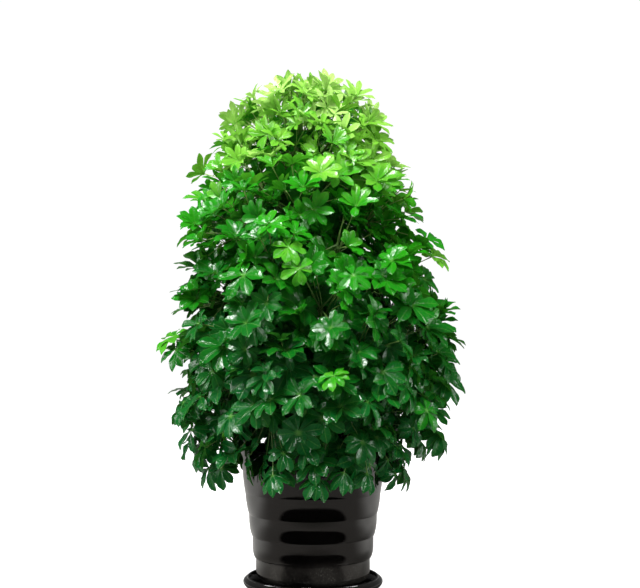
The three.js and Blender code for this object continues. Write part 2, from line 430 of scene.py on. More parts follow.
class Group(Graph):
    """A node group in the making."""

    def __init__(self, name: str, inputs: dict[str, Any], kind: str = "ShaderNodeTree") -> None:
        """Starts a group.

        Args:
            name: its name.
            inputs: each input's default, or its sort where it has none.
            kind: the type of its tree.
        """
        super().__init__(bpy.data.node_groups.new(name, kind))
        for label, default in inputs.items():
            sort = Sort.of(default)
            socket = self.add_socket(label, Way.IN, sort)
            if sort in (Sort.NUMBER, Sort.COUNT):
                socket.default_value = default
        self.given = self.add("NodeGroupInput")

    def add_socket(self, label: str, way: Way, sort: Sort) -> bpy.types.NodeTreeInterfaceSocket:
        """Adds an input or an output to the group."""
        return self.tree.interface.new_socket(name=label, in_out=way.value, socket_type=sort.value)

    def closed(self, outputs: dict[str, Value]) -> bpy.types.NodeTree:
        """Gives the group its outputs.

        Args:
            outputs: what each output gives.

        Returns:
            The group's tree.
        """
        for label, value in outputs.items():
            sort = Sort.SHAPE if value.socket.type == "GEOMETRY" else Sort.NUMBER
            self.add_socket(label, Way.OUT, sort)
        self.add("NodeGroupOutput", outputs)
        return self.tree


# ---------------------------------------------------------------- shader effects
class Effects:
    """The shader node groups that more than one material uses, each built once."""

    finer: float = 4.7
    patch_shares: Span = (0.65, 0.35)
    speck_span: Span = (0.58, 0.75)
    film_scale: float = 9.0
    film_span: Span = (0.35, 0.75)
    level_from: float = 0.2
    dust_shares: Place = (0.8, 0.25, 0.45)
    midrib_width: float = 0.14
    vein_sweep: float = 0.16
    vein_span: Span = (0.36, 0.5)
    vein_end: float = 0.55
    margin_from: Span = (0.86, 0.95)

    @cached_property
    def mottle(self) -> bpy.types.NodeTree:
        """Builds the group for cloudy unevenness, with patches of two sizes.

        Returns:
            The group's tree. Its mask goes from 0 to 1.
        """
        group = Group("mottle", {"Vector": Sort.VECTOR, "Scale": 20.0, "Contrast": 0.3})
        where, scale, contrast = (group.given[name] for name in ("Vector", "Scale", "Contrast"))
        fine = group.noise(where, scale * self.finer, detail=4.0)
        both = group.noise(where, scale) * self.patch_shares[0] + fine * self.patch_shares[1]
        return group.closed({"Mask": group.ramped(both, 0.5 - contrast, contrast + 0.5)})

    @cached_property
    def dust(self) -> bpy.types.NodeTree:
        """Builds the group for fine dust: thicker on faces that look up, with a patchy film and specks.

        Returns:
            The group's tree. Its mask goes from 0 to 1.
        """
        group = Group("dust", {"Vector": Sort.VECTOR, "Scale": 400.0, "Amount": 0.3})
        where, scale, amount = (group.given[name] for name in ("Vector", "Scale", "Amount"))
        normal = group.split(group.add("ShaderNodeNewGeometry")["Normal"])
        level = group.ramped(normal["Z"], self.level_from, 1.0)
        film = group.ramped(group.noise(where, self.film_scale), *self.film_span)
        specks = group.ramped(group.noise(where, scale), *self.speck_span)
        on_level, on_film, on_specks = self.dust_shares
        whole = level * on_level + film * on_film + specks * on_specks
        return group.closed({"Mask": (whole * amount).clamped()})

    @cached_property
    def veins(self) -> bpy.types.NodeTree:
        """Builds the group for a leaflet's lines, from where a point lies along and across the blade.

        Returns:
            The group's tree. It has a mask for the midrib, one for the side veins and one for the margin.
        """
        group = Group("veins", {"Along": 0.0, "Across": 0.0, "Pairs": 7.0})
        along = group.given["Along"]
        away = abs(group.given["Across"])
        phase = group.math("FRACT", (along - away * self.vein_sweep) * group.given["Pairs"])
        line = group.ramped(abs(phase - 0.5), *self.vein_span)
        side_edge, tip_edge = self.margin_from
        edge = group.math("MAXIMUM", group.ramped(away, side_edge, 1.0), group.ramped(along, tip_edge, 1.0))
        outputs = {
            "Midrib": group.ramped(away, 0.0, self.midrib_width, 1.0, 0.0),
            "Side Veins": line * group.ramped(away, self.vein_end, 1.0, 1.0, 0.0),
            "Margin": edge,
        }
        return group.closed(outputs)


class Surface:
    """A new material, with its graph, its Principled shader and the places that its patterns read."""

    def __init__(self, name: str) -> None:
        """Makes the material.

        Args:
            name: its name.
        """
        self.material = bpy.data.materials.new(name)
        self.material.use_nodes = True
        self.graph = Graph(self.material.node_tree)
        self.shader = self.graph.existing("Principled BSDF")
        self.where = self.graph.add("ShaderNodeTexCoord")["Object"]

    @cached_property
    def height(self) -> Value:
        """The height on the plant."""
        return self.graph.split(self.where)["Z"]

    def stretched(self, scale: Place) -> Value:
        """The place on the plant, scaled each way."""
        return self.graph.add("ShaderNodeMapping", {"Vector": self.where, "Scale": scale})[0]

    def effect(self, tree: bpy.types.NodeTree, inputs: dict[str, Any]) -> Node:
        """Places an effect's group, with its inputs."""
        return self.graph.add("ShaderNodeGroup", inputs, node_tree=tree)

    def clouds(self, effects: Effects, scale: float) -> Value:
        """The mottle's mask, at this scale."""
        return self.effect(effects.mottle, {"Vector": self.where, "Scale": scale})["Mask"]

    def finished(self, inputs: dict[str, Any], relief: Value, bump: Span) -> bpy.types.Material:
        """Gives the shader its inputs and its bump.

        Args:
            inputs: the shader's inputs, apart from its normal.
            relief: the height of the fine relief.
            bump: how strongly it shows, and the height that 1 stands for.

        Returns:
            The material.
        """
        given = {"Height": relief, "Strength": bump[0], "Distance": bump[1]}
        self.shader.feed({**inputs, "Normal": self.graph.add("ShaderNodeBump", given)["Normal"]})
        return self.material


# ---------------------------------------------------------------- finishes
@dataclass(frozen=True)
class BladeFinish:
    """The leaf blades: waxy, dark green at the pot and pale lime at the top, partly for the age of the
    growth and partly as painted light, lit at the top and shaded low down.
    """

    effects: Effects
    deep: Colour = (0.0012, 0.087, 0.014, 1)
    full: Colour = (0.0013, 0.114, 0.005, 1)
    bright: Colour = (0.014, 0.265, 0.004, 1)
    lime: Colour = (0.19, 0.49, 0.040, 1)
    pale: Colour = (0.42, 0.69, 0.17, 1)
    stops: tuple[float, ...] = (0.0, 0.41, 0.68, 0.87, 1.0)
    rib: Colour = (0.16, 0.42, 0.07, 1)
    green_from: float = 0.30
    lime_at: float = 1.20
    young_age: float = 0.79
    tint_lift: float = 0.14
    cloud_scale: float = 55.0
    cloud_lift: float = 0.10
    side_vein_line: float = 0.16
    midrib_line: float = 0.42
    margin_line: Span = (0.25, 0.75)
    margin_from: float = 0.5
    line_paleness: float = 0.55
    hub_paleness: float = 0.6
    hub_reach: float = 0.22
    wax_scale: float = 120.0
    wax_span: Span = (0.3, 0.7)
    gloss: Span = (0.10, 0.25)
    refraction: float = 1.46
    side_vein_depth: float = 0.35
    grain_scale: float = 190.0
    grain_height: float = 0.9
    bump: Span = (0.55, 0.0012)
    see_through: float = 0.30
    through_lime: float = 0.18

    def material(self) -> bpy.types.Material:
        """Builds the material. It reads the blade and young attributes that the leaves carry, and the one
        for their random tint and painted shade.

        Returns:
            The material, which lets some light through.
        """
        surface = Surface("leaf_blade")
        graph = surface.graph
        blade = graph.split(graph.attribute("blade", "Vector"))
        # Colour by height: partly the age of the growth, partly painted light, paler where light falls on
        # the top and darker in the shade low down.
        span = {"Value": surface.height, "From Min": self.green_from, "From Max": self.lime_at}
        level = graph.add("ShaderNodeMapRange", span)[0]
        cloud = surface.clouds(self.effects, self.cloud_scale)
        age = graph.math("MAXIMUM", graph.attribute("young") * self.young_age, level)
        # The tint attribute darkens the colour: random tone, with painted shade for inner leaves and leaves
        # in hollows.
        age = age + graph.attribute("tint") * self.tint_lift
        colours = (self.deep, self.full, self.bright, self.lime, self.pale)
        even = graph.ramp(age, self.stops, colours)
        colour = graph.ramp((age + (cloud - 0.5) * self.cloud_lift).clamped(), self.stops, colours)
        veins = surface.effect(self.effects.veins, {"Along": blade["X"], "Across": blade["Y"]})
        midrib, side_veins = veins["Midrib"], veins["Side Veins"]
        margin = veins["Margin"] * graph.ramped(level, self.margin_from, 1.0, *self.margin_line)
        lines = (side_veins * self.side_vein_line + midrib * self.midrib_line + margin).clamped()
        colour = graph.mixed(lines, colour, graph.mixed(self.line_paleness, colour, self.rib))
        near_hub = graph.ramped(blade["X"], 0.0, self.hub_reach, self.hub_paleness, 0.0)
        colour = graph.mixed(near_hub, colour, self.rib)
        wax = graph.ramped(graph.noise(surface.where, self.wax_scale), *self.wax_span, *self.gloss)
        grain = graph.noise(surface.where, self.grain_scale) * self.grain_height
        relief = midrib * -1.0 - side_veins * self.side_vein_depth + grain
        inputs = {"Base Color": colour, "Roughness": wax, "IOR": self.refraction}
        surface.finished(inputs, relief, self.bump)
        lit = graph.mixed(self.through_lime, even, self.lime)
        through = graph.add("ShaderNodeBsdfTranslucent", {"Color": lit})
        both = graph.add("ShaderNodeMixShader", {0: self.see_through, 1: surface.shader[0], 2: through[0]})
        graph.existing("Material Output").feed({"Surface": both[0]})
        return surface.material


@dataclass(frozen=True)
class StalkFinish:
    """The stems and leaf stalks: brown-green where they are old, pale green where they are young."""

    effects: Effects
    old: Colour = (0.055, 0.048, 0.020, 1)
    green: Colour = (0.075, 0.17, 0.030, 1)
    pale: Colour = (0.27, 0.42, 0.10, 1)
    stops: tuple[float, ...] = (0.05, 0.45, 0.95)
    level_span: Span = (0.35, 1.1)
    level_lift: float = 0.35
    young_lift: float = 0.55
    cloud_scale: float = 90.0
    cloud_lift: float = 0.25
    cloud_span: Span = (-0.1, 0.1)
    roughness: Span = (0.42, 0.6)
    bump: Span = (0.4, 0.0005)

    def material(self) -> bpy.types.Material:
        """Builds the material. It reads the young attribute that the stems and stalks carry.

        Returns:
            The material.
        """
        surface = Surface("leaf_stalk")
        graph = surface.graph
        mask = surface.clouds(self.effects, self.cloud_scale)
        cloud = (mask - 0.5) * self.cloud_lift
        level = graph.ramped(surface.height, *self.level_span, 0.0, self.level_lift)
        age = (graph.attribute("young") * self.young_lift + level + cloud).clamped()
        inputs = {
            "Base Color": graph.ramp(age, self.stops, (self.old, self.green, self.pale)),
            "Roughness": graph.ramped(cloud, *self.cloud_span, *self.roughness),
        }
        return surface.finished(inputs, mask, self.bump)


@dataclass(frozen=True)
class BarkFinish:
    """The woody canes: grey-brown, with paler corky specks."""

    effects: Effects
    dark: Colour = (0.045, 0.030, 0.018, 1)
    light: Colour = (0.20, 0.155, 0.10, 1)
    cork: Colour = (0.33, 0.27, 0.19, 1)
    drawn_out: Place = (1.0, 1.0, 0.22)
    streak_scale: float = 260.0
    streak_contrast: float = 0.2
    speck_scale: float = 520.0
    speck_span: Span = (0.62, 0.70)
    speck_colour: float = 0.6
    speck_height: float = 0.5
    roughness: Span = (0.92, 0.72)
    bump: Span = (0.7, 0.001)

    def material(self) -> bpy.types.Material:
        """Builds the material. Its streaks are drawn out along the canes, which stand nearly upright.

        Returns:
            The material.
        """
        surface = Surface("cane_bark")
        graph = surface.graph
        inputs = {
            "Vector": surface.stretched(self.drawn_out),
            "Scale": self.streak_scale,
            "Contrast": self.streak_contrast,
        }
        streaks = surface.effect(self.effects.mottle, inputs)["Mask"]
        specks = graph.ramped(graph.noise(surface.where, self.speck_scale), *self.speck_span)
        wood = graph.mixed(streaks, self.dark, self.light)
        inputs = {
            "Base Color": graph.mixed(specks * self.speck_colour, wood, self.cork),
            "Roughness": graph.ramped(streaks, 0.0, 1.0, *self.roughness),
        }
        return surface.finished(inputs, streaks + specks * self.speck_height, self.bump)


@dataclass(frozen=True)
class CompostFinish:
    """The compost: damp, dark brown, with paler fibres."""

    effects: Effects
    damp: Colour = (0.010, 0.007, 0.005, 1)
    dry: Colour = (0.060, 0.038, 0.022, 1)
    patch_scale: float = 140.0
    grain_scale: float = 900.0
    grain_span: Span = (0.2, 0.8)
    grain_height: float = 0.5
    roughness: Span = (0.7, 0.98)
    bump: Span = (0.9, 0.002)

    def material(self) -> bpy.types.Material:
        """Builds the material.

        Returns:
            The material, in damp and dry patches.
        """
        surface = Surface("damp_compost")
        graph = surface.graph
        patches = surface.clouds(self.effects, self.patch_scale)
        grain = graph.noise(surface.where, self.grain_scale, detail=4.0)
        inputs = {
            "Base Color": graph.mixed(patches, self.damp, self.dry),
            "Roughness": graph.ramped(grain, *self.grain_span, *self.roughness),
        }
        return surface.finished(inputs, patches + grain * self.grain_height, self.bump)


@dataclass(frozen=True)
class PlasticFinish:
    """Moulded black plastic, polished, with a thin film of dust that can be thicker near the floor."""

    effects: Effects
    name: str
    colour: Colour = (0.0009, 0.0008, 0.0008, 1)
    dust_colour: Colour = (0.16, 0.15, 0.13, 1)
    dust_amount: float = 0.025
    dust_dulling: float = 0.5
    foot_dust: float = 0.0
    foot_span: Span = (0.070, 0.096)
    handling_scale: float = 14.0
    handling_span: Span = (0.35, 0.7)
    polish: Span = (0.05, 0.12)
    refraction: float = 1.7
    drawn_round: Place = (1.0, 1.0, 3.0)
    wave_scale: float = 7.0
    bump: Span = (0.35, 0.0012)

    def material(self) -> bpy.types.Material:
        """Builds the material.

        Returns:
            The material, with its dust.
        """
        surface = Surface(self.name)
        graph = surface.graph
        at_foot = self.dust_amount + self.foot_dust
        amount = graph.ramped(surface.height, *self.foot_span, at_foot, self.dust_amount)
        dust = surface.effect(self.effects.dust, {"Vector": surface.where, "Amount": amount})["Mask"]
        handling = graph.noise(surface.where, self.handling_scale, detail=5.0)
        handled = graph.ramped(handling, *self.handling_span, *self.polish)
        inputs = {
            "Base Color": graph.mixed(dust, self.colour, self.dust_colour),
            "Roughness": handled + dust * self.dust_dulling,
            "IOR": self.refraction,
        }
        waves = graph.noise(surface.stretched(self.drawn_round), self.wave_scale, detail=1.5)
        return surface.finished(inputs, waves, self.bump)


# ---------------------------------------------------------------- how the plant is laid out
@dataclass(frozen=True)
class Spot:
    """A place on the crown, and the level way outwards from the axis there."""

    outward: Vector
    point: Vector


@dataclass(frozen=True)
class Crown:
    """The egg-shaped surface on which the outermost leaf hubs lie."""

    widest: float = 0.342
    widest_height: float = 0.540
    rise: float = 0.680
    fall: float = 0.330
    exponent: float = 1.7
    lowest: float = 0.295
    drift: float = -0.036
    drift_span: Span = (0.560, 1.060)
    rings: int = 500
    slope_step: float = 0.001

    @property
    def top(self) -> float:
        """The height of the topmost hub."""
        return self.widest_height + self.rise

    def radius(self, height: float) -> float:
        """Finds the crown's radius.

        Args:
            height: the height on the plant.

        Returns:
            The radius there, which is 0 at the top.
        """
        above = height - self.widest_height
        part = above / self.rise if above > 0 else -above / self.fall
        return self.widest * math.sqrt(max(0.0, 1 - part**self.exponent))

    def share(self, height: float) -> float:
        """How far up the crown a height is, from 0 to 1."""
        return (height - self.lowest) / (self.top - self.lowest)

    @cached_property
    def areas(self) -> list[float]:
        """Adds up the crown's surface, from its bottom up to each ring.

        Returns:
            The areas, for each radian round the axis.
        """
        heights = [blend(self.lowest, self.top, part) for part in steps_of(self.rings)]
        totals = [0.0]
        for low, high in zip(heights, heights[1:]):
            slant = math.hypot(high - low, self.radius(high) - self.radius(low))
            totals.append(totals[-1] + slant * (self.radius(high) + self.radius(low)) / 2)
        return totals

    def level(self, i: int, count: int, crowding: float = 1.0) -> float:
        """Finds the height of one of the places that share the crown's surface.

        Args:
            i: its number, from the bottom.
            count: how many places share the crown.
            crowding: 1 spreads the places evenly, and less crowds them towards the top.

        Returns:
            The height.
        """
        wanted = ((i + 0.5) / count) ** crowding * self.areas[-1]
        ring = next(i for i, area in enumerate(self.areas) if area >= wanted)
        part = (wanted - self.areas[ring - 1]) / (self.areas[ring] - self.areas[ring - 1])
        return blend(self.lowest, self.top, (ring - 1 + part) / self.rings)

    def lean(self, height: float) -> float:
        """How far the crown has drifted sideways at a height."""
        return self.drift * smooth_step(height, *self.drift_span)

    def spot(self, height: float, angle: float, depth: float) -> Spot:
        """Finds a place near the crown's surface.

        Args:
            height: the height of the surface above it.
            angle: its angle about the axis, in radians.
            depth: how far under the surface it lies.

        Returns:
            The place, before the crown leans.
        """
        outward = Vector((math.cos(angle), math.sin(angle), 0.0))
        step = self.slope_step
        slope = (self.radius(height + step) - self.radius(height - step)) / (2 * step)
        normal = (outward - UP * slope).normalized()
        return Spot(outward, outward * self.radius(height) + UP * height - normal * depth)


@dataclass(frozen=True)
class Canes:
    """The woody canes: a ring of them, and one in the middle."""

    crown: Crown
    count: int = 5
    foot_height: float = 0.230
    ring_foot: float = 0.046
    ring_belly: float = 0.084
    ring_tip: float = 0.096
    ring_top: float = 0.850
    ring_step: float = 0.022
    ring_start: float = 0.25
    ring_sway: float = 0.12
    middle_top: float = 0.985
    middle_bow: Place = (0.010, 0.006, 0.620)
    foot_radius: float = 0.010
    top_radius: float = 0.0055

    def ring_point(self, angle: float, radius: float, height: float) -> Vector:
        """The point at this angle and this far from the leaning axis."""
        x = radius * math.cos(angle) + self.crown.lean(height)
        return Vector((x, radius * math.sin(angle), height))

    def curve(self, k: int) -> Bezier:
        """Finds the line of a cane.

        Args:
            k: the cane's number. The last one is the middle one.

        Returns:
            The line, from its foot in the compost.
        """
        if k == self.count:
            tip = Vector((self.crown.lean(self.middle_top), 0.0, self.middle_top))
            return Bezier(Vector((0.0, 0.0, self.foot_height)), Vector(self.middle_bow), tip)
        angle = TURN * (k + self.ring_start) / self.count
        top = self.ring_top - self.ring_step * k
        foot = self.ring_point(angle, self.ring_foot, self.foot_height)
        swayed = angle + self.ring_sway * (-1) ** k
        belly = self.ring_point(swayed, self.ring_belly, (self.foot_height + top) / 2)
        return Bezier(foot, belly, self.ring_point(angle, self.ring_tip, top))

    @cached_property
    def curves(self) -> list[Bezier]:
        """The lines of all the canes."""
        return [self.curve(k) for k in range(self.count + 1)]

    @staticmethod
    def at_height(curve: Bezier, height: float) -> Vector:
        """The point of a cane at a height."""
        return curve.at(limited((height - curve.foot.z) / (curve.tip.z - curve.foot.z), 0.0, 1.0))


@dataclass(frozen=True)
class Shoots:
    """The leafy shoots' stems, from their seats on the canes out to their tips."""

    crown: Crown
    canes: Canes
    count: int = 42
    tip_depth: float = 0.128
    turn: float = 0.8
    climb: float = 0.7
    bend_at: float = 0.55
    sag: float = 0.1
    lowest_seat: float = 0.331
    highest_seat: float = 0.009
    seat_step: float = 0.008
    seat_steps: int = 5
    foot_radius: float = 0.0038
    tip_radius: float = 0.0024

    def path(self, s: int) -> Bezier:
        """Finds the line of a shoot's stem.

        Args:
            s: the shoot's number.

        Returns:
            The line, from its seat on the cane that gives the shortest one.
        """
        angle = s * GOLDEN_ANGLE + self.turn
        tip = self.crown.spot(self.crown.level(s, self.count), angle, self.tip_depth).point
        tip.x += self.crown.lean(tip.z)
        seats = []
        for curve in self.canes.curves:
            level = self.canes.at_height(curve, tip.z)
            reach = math.hypot(tip.x - level.x, tip.y - level.y)
            highest = curve.tip.z - self.highest_seat - self.seat_step * (s % self.seat_steps)
            height = limited(tip.z - self.climb * reach, self.lowest_seat, highest)
            seats.append(self.canes.at_height(curve, height))
        seat = min(seats, key=lambda one: (one - tip).length)
        bend = seat.lerp(tip, self.bend_at) - UP * (self.sag * (tip - seat).length)
        return Bezier(seat, bend, tip)

    @cached_property
    def paths(self) -> list[Bezier]:
        """The lines of all the shoots."""
        return [self.path(s) for s in range(self.count)]

    def nearest(self, hub: Vector) -> int:
        """The shoot whose tip is nearest a leaf's hub."""
        gaps = [(path.tip - hub).length for path in self.paths]
        return gaps.index(min(gaps))


@dataclass
class Leaf:
    """One compound leaf: a hub with leaflets round it, at the end of its stalk."""

    hub: Vector
    face: Vector
    share: float
    droop: float
    size: float
    root: Vector
    young: float = 0.0
    # Random tint, with painted shade for leaves deep in the crown and in its hollows.
    tint: float = 0.0


@dataclass(frozen=True)
class Stray:
    """A leaf that stands out of the crown's even shape."""

    hub: Place
    face: Place
    droop: float = 0.3
    size: float = 1.0
    young: float = 0.0


@dataclass(frozen=True)
class LeafLayer:
    """A set of leaves at about one depth under the crown's surface."""

    count: int
    depth: float
    depth_step: float
    depths: int
    turn: float
    size: float
    looseness: float
    young_share: float
    lift: float
    # Darkens the layer's leaves: partly the older, darker green of inner leaves, partly painted shade deep
    # in the crown.
    age_and_shade_shift: float


@dataclass(frozen=True)
class Leaves:
    """Where every leaf of the plant is, and which shoot bears it."""

    crown: Crown
    shoots: Shoots
    # The inner layers' last number is painted shade, with some of the older leaves' darker green.
    layers: tuple[LeafLayer, ...] = (
        LeafLayer(172, 0.012, 0.017, 5, 0.0, 1.04, 0.8, 0.012, 0.0, 0.0),
        LeafLayer(250, 0.006, 0.015, 5, 1.9, 0.94, 1.1, 0.012, 4.0, 0.0),
        LeafLayer(200, 0.035, 0.014, 4, 4.1, 0.84, 1.2, 0.012, -4.0, -0.3),
        LeafLayer(210, 0.080, 0.016, 4, 0.6, 1.0, 1.0, 0.0, -16.0, -0.9),
        LeafLayer(190, 0.150, 0.020, 3, 2.7, 1.0, 1.0, 0.0, -16.0, -2.2),
    )
    crowding: float = 0.86
    end_room: float = 0.3
    end_share: float = 0.2
    tilts: Span = (30.0, 66.0)
    tilt_curve: float = 1.2
    tilt_spread: float = 16.0
    side_spread: float = 0.3
    droops: Span = (0.36, -0.42)
    tilt_ratio: float = 0.7549
    side_ratio: float = 0.5698
    first_root: float = 0.97
    root_step: float = 0.11
    last_root: float = 0.2
    tilt_chance: float = 22.0
    side_chance: float = 0.48
    hub_chance: float = 0.008
    droop_chance: float = 0.16
    cupping: float = 0.30
    cupping_spans: tuple[Span, Span] = ((0.05, 0.5), (0.7, 1.0))
    lump: float = 0.036
    lump_ratio: float = 0.4142
    tint_chance: float = 0.5
    shoot_tint: float = 0.6
    shoot_tint_ratio: float = 0.6180
    shoot_tint_span: Span = (0.5, 0.8)
    young_span: Span = (0.55, 0.85)
    young_smallness: float = 0.25
    size_chance: Span = (0.86, 1.10)
    sizes: Span = (1.05, 0.92)
    size_span: Span = (0.3, 1.0)
    highest_hub: float = 1.198
    lowest_hub: float = 0.300
    widest_hub: float = 0.318
    free_hub: float = 0.250
    hub_middle: Span = (-0.006, -0.008)
    top_pull: float = 0.030
    top_pull_span: Span = (0.50, 0.88)
    top_return: float = 0.026
    top_return_span: Span = (0.90, 1.0)
    hollows: tuple[Span, ...] = (
        (-0.026, 1.045),
        (-0.235, 1.060),
        (-0.265, 0.965),
        (0.041, 0.825),
        (0.250, 0.750),
        (-0.024, 0.700),
        (-0.215, 0.665),
        (0.000, 0.560),
        (-0.180, 0.500),
        (0.150, 0.590),
        (0.058, 0.405),
        (0.216, 0.400),
        (-0.120, 0.395),
        (0.262, 0.325),
    )
    hollow_reach: float = 0.058
    hollow_core: float = 0.3
    hollow_depth: float = 0.085
    hollow_shade: float = 1.2
    waist: float = 0.036
    waist_span: Span = (0.55, 0.99)
    strays: tuple[Stray, ...] = (
        Stray((-0.095, -0.285, 0.850), (-0.2, -0.7, 0.6), 0.0, 0.80, 0.85),
        Stray((-0.052, -0.295, 0.800), (0.1, -0.7, 0.6), 0.2, 0.80, 0.92),
        Stray((-0.028, -0.310, 0.752), (0.1, -0.9, 0.3), 0.6, 0.80, 0.92),
        Stray((0.088, -0.305, 0.738), (0.1, -0.7, 0.6), 0.2, 0.80, 0.75),
        Stray((-0.150, -0.275, 0.740), (-0.2, -0.7, 0.6), 0.1, 1.05, 0.50),
        Stray((0.045, -0.325, 0.522), (-0.3, -0.5, 0.8), 0.2, 0.70, 0.90),
        Stray((0.255, -0.190, 0.440), (0.6, -0.6, 0.5), 0.3, 0.9, 0.6),
        Stray((0.012, -0.228, 0.292), (0.1, -0.40, 0.9), 1.15, 0.90),
        Stray((-0.088, -0.219, 0.300), (-0.3, -0.40, 0.9), 1.10, 0.90),
        Stray((0.070, -0.224, 0.306), (0.2, -0.40, 0.9), 1.10, 0.85),
        Stray((0.122, -0.204, 0.302), (0.4, -0.40, 0.9), 1.10, 0.85),
        Stray((-0.286, -0.05, 0.728), (-0.6, -0.4, 0.6), 0.3, 0.90, 0.4),
        Stray((-0.330, -0.03, 0.605), (-0.5, -0.4, 0.8), 0.1, 0.95, 0.92),
        Stray((-0.322, -0.06, 0.575), (-0.6, -0.6, 0.6), 0.3, 0.9, 0.5),
        Stray((-0.305, -0.04, 0.450), (-0.7, -0.5, 0.5), 0.5, 1.0),
        Stray((-0.285, -0.06, 0.385), (-0.7, -0.5, 0.5), 0.5, 1.0),
        Stray((-0.285, 0.02, 0.330), (-0.8, -0.4, 0.4), 0.8, 1.0),
        Stray((-0.245, -0.05, 0.295), (-0.6, -0.6, 0.5), 0.9, 1.0),
        Stray((-0.212, -0.09, 0.300), (-0.4, -0.8, 0.6), 0.8, 0.85),
        Stray((0.176, -0.07, 0.318), (0.6, -0.7, 0.3), 0.9, 0.85),
        Stray((0.196, -0.05, 0.283), (0.8, -0.5, 0.2), 1.0, 0.85),
        Stray((0.300, -0.05, 0.375), (0.6, -0.5, 0.6), 0.6, 1.05),
        Stray((0.262, 0.03, 0.350), (0.8, -0.2, 0.5), 0.7, 0.9),
        Stray((0.312, -0.05, 0.545), (0.5, -0.6, 0.6), 0.3, 1.05),
        Stray((0.315, -0.03, 0.500), (0.5, -0.6, 0.6), 0.4, 1.1),
        Stray((0.268, -0.05, 0.835), (0.5, -0.5, 0.7), 0.0, 0.9, 0.6),
        Stray((0.283, -0.04, 0.795), (0.5, -0.4, 0.8), 0.0, 0.95, 1.0),
        Stray((0.265, -0.03, 0.740), (0.6, -0.5, 0.5), 0.2, 0.95, 0.6),
        Stray((0.142, -0.05, 1.110), (0.5, -0.5, 0.7), -0.2, 0.95),
        Stray((0.148, -0.08, 1.065), (0.5, -0.6, 0.6), 0.0, 0.95),
        Stray((0.090, -0.05, 1.160), (0.3, -0.4, 0.9), -0.3, 0.9),
        Stray((-0.075, -0.05, 1.185), (-0.4, -0.5, 0.7), -0.3, 0.9),
        Stray((-0.172, -0.05, 1.080), (-0.5, -0.3, 0.8), -0.1, 0.85),
        Stray((-0.272, -0.03, 0.885), (-0.5, -0.4, 0.8), 0.0, 0.95),
    )
    seed: int = 7

    def place(self, layer: LeafLayer, i: int) -> Leaf:
        """Finds where a leaf of the even pattern is.

        Args:
            layer: the leaf's layer.
            i: its number in the layer.

        Returns:
            The leaf, not yet on a shoot.
        """
        height = self.crown.level(i, layer.count, self.crowding)
        share = self.crown.share(height)
        room = blend(self.end_room, 1.0, smooth_step(min(share, 1 - share), 0.0, self.end_share))
        depth = layer.depth * room + ((2 * i) % layer.depths) * layer.depth_step * room
        spot = self.crown.spot(height, i * GOLDEN_ANGLE + layer.turn, depth)
        hub = spot.point
        hub.x += self.crown.lean(hub.z)
        tilt = blend(*self.tilts, share**self.tilt_curve)
        tilt += self.tilt_spread * wander(i, self.tilt_ratio)
        angle = math.radians(tilt + layer.lift)
        face = spot.outward * math.cos(angle) + UP * math.sin(angle)
        face += UP.cross(spot.outward) * (self.side_spread * wander(i, self.side_ratio))
        return Leaf(hub, face.normalized(), share, blend(*self.droops, share), layer.size, hub)

    def loosen(self, leaf: Leaf, looseness: float, lump: float, chance: np.random.Generator) -> None:
        """Moves and turns a leaf a little out of the even pattern.

        Args:
            leaf: the leaf.
            looseness: how much of the usual unevenness it gets.
            lump: how far its whole shoot stands out.
            chance: the random numbers.
        """
        outward = Vector((leaf.face.x, leaf.face.y, 0.0)).normalized()
        side = UP.cross(outward)
        turn = math.radians(self.tilt_chance * looseness) * float(chance.normal())
        swing = self.side_chance * looseness * float(chance.normal())
        upright = leaf.face.cross(side)
        leaf.face = (leaf.face - upright * math.tan(limited(turn, -1.0, 1.0)) + side * swing).normalized()
        shift = Vector([float(chance.normal(0.0, self.hub_chance * looseness)) for _ in range(3)])
        middle, half = sum(self.waist_span) / 2, (self.waist_span[1] - self.waist_span[0]) / 2
        narrowing = self.waist * (1 - smooth_step(abs(leaf.hub.z - middle), 0.0, half))
        leaf.hub = leaf.hub + shift + outward * (lump - narrowing)
        leaf.hub.x += self.top_pull * smooth_step(leaf.share, *self.top_pull_span)
        leaf.hub.x -= self.top_return * smooth_step(leaf.share, *self.top_return_span)
        leaf.hub = leaf.hub - outward * (self.hollow_depth * self.sunk(leaf.hub))
        leaf.hub.z = limited(leaf.hub.z, self.lowest_hub, self.highest_hub)
        off_middle = leaf.hub - Vector((*self.hub_middle, leaf.hub.z))
        room = self.widest_hub - self.free_hub
        if off_middle.length > self.free_hub:
            kept = self.free_hub + room * math.tanh((off_middle.length - self.free_hub) / room)
            leaf.hub = leaf.hub + off_middle * (kept / off_middle.length - 1)

    def sunk(self, hub: Vector) -> float:
        """Finds how deep in a hollow a place is. The back has the front's hollows, mirrored.

        Args:
            hub: the place.

        Returns:
            The depth, from 0 to 1.
        """
        turned_x = hub.x if hub.y < 0 else -hub.x
        nearest = min(math.hypot(turned_x - across, hub.z - height) for across, height in self.hollows)
        return 1 - smooth_step(nearest / self.hollow_reach, self.hollow_core, 1.0)

    def age(self, leaf: Leaf, layer: LeafLayer, s: int, chance: np.random.Generator) -> None:
        """Gives a leaf its age, droop and size, and a tint that also carries painted shade for leaves
        inside the crown and in its hollows.

        Args:
            leaf: the leaf.
            layer: its layer.
            s: its shoot's number.
            chance: the random numbers.
        """
        share = leaf.share
        leaf.young = 1.0 if chance.random() < layer.young_share else 0.0
        leaf.young *= 1 - smooth_step(share, *self.young_span)
        # The layer's shift darkens inner leaves: painted shade, with some of their older, darker green.
        leaf.tint = float(chance.normal(0.0, self.tint_chance)) + layer.age_and_shade_shift
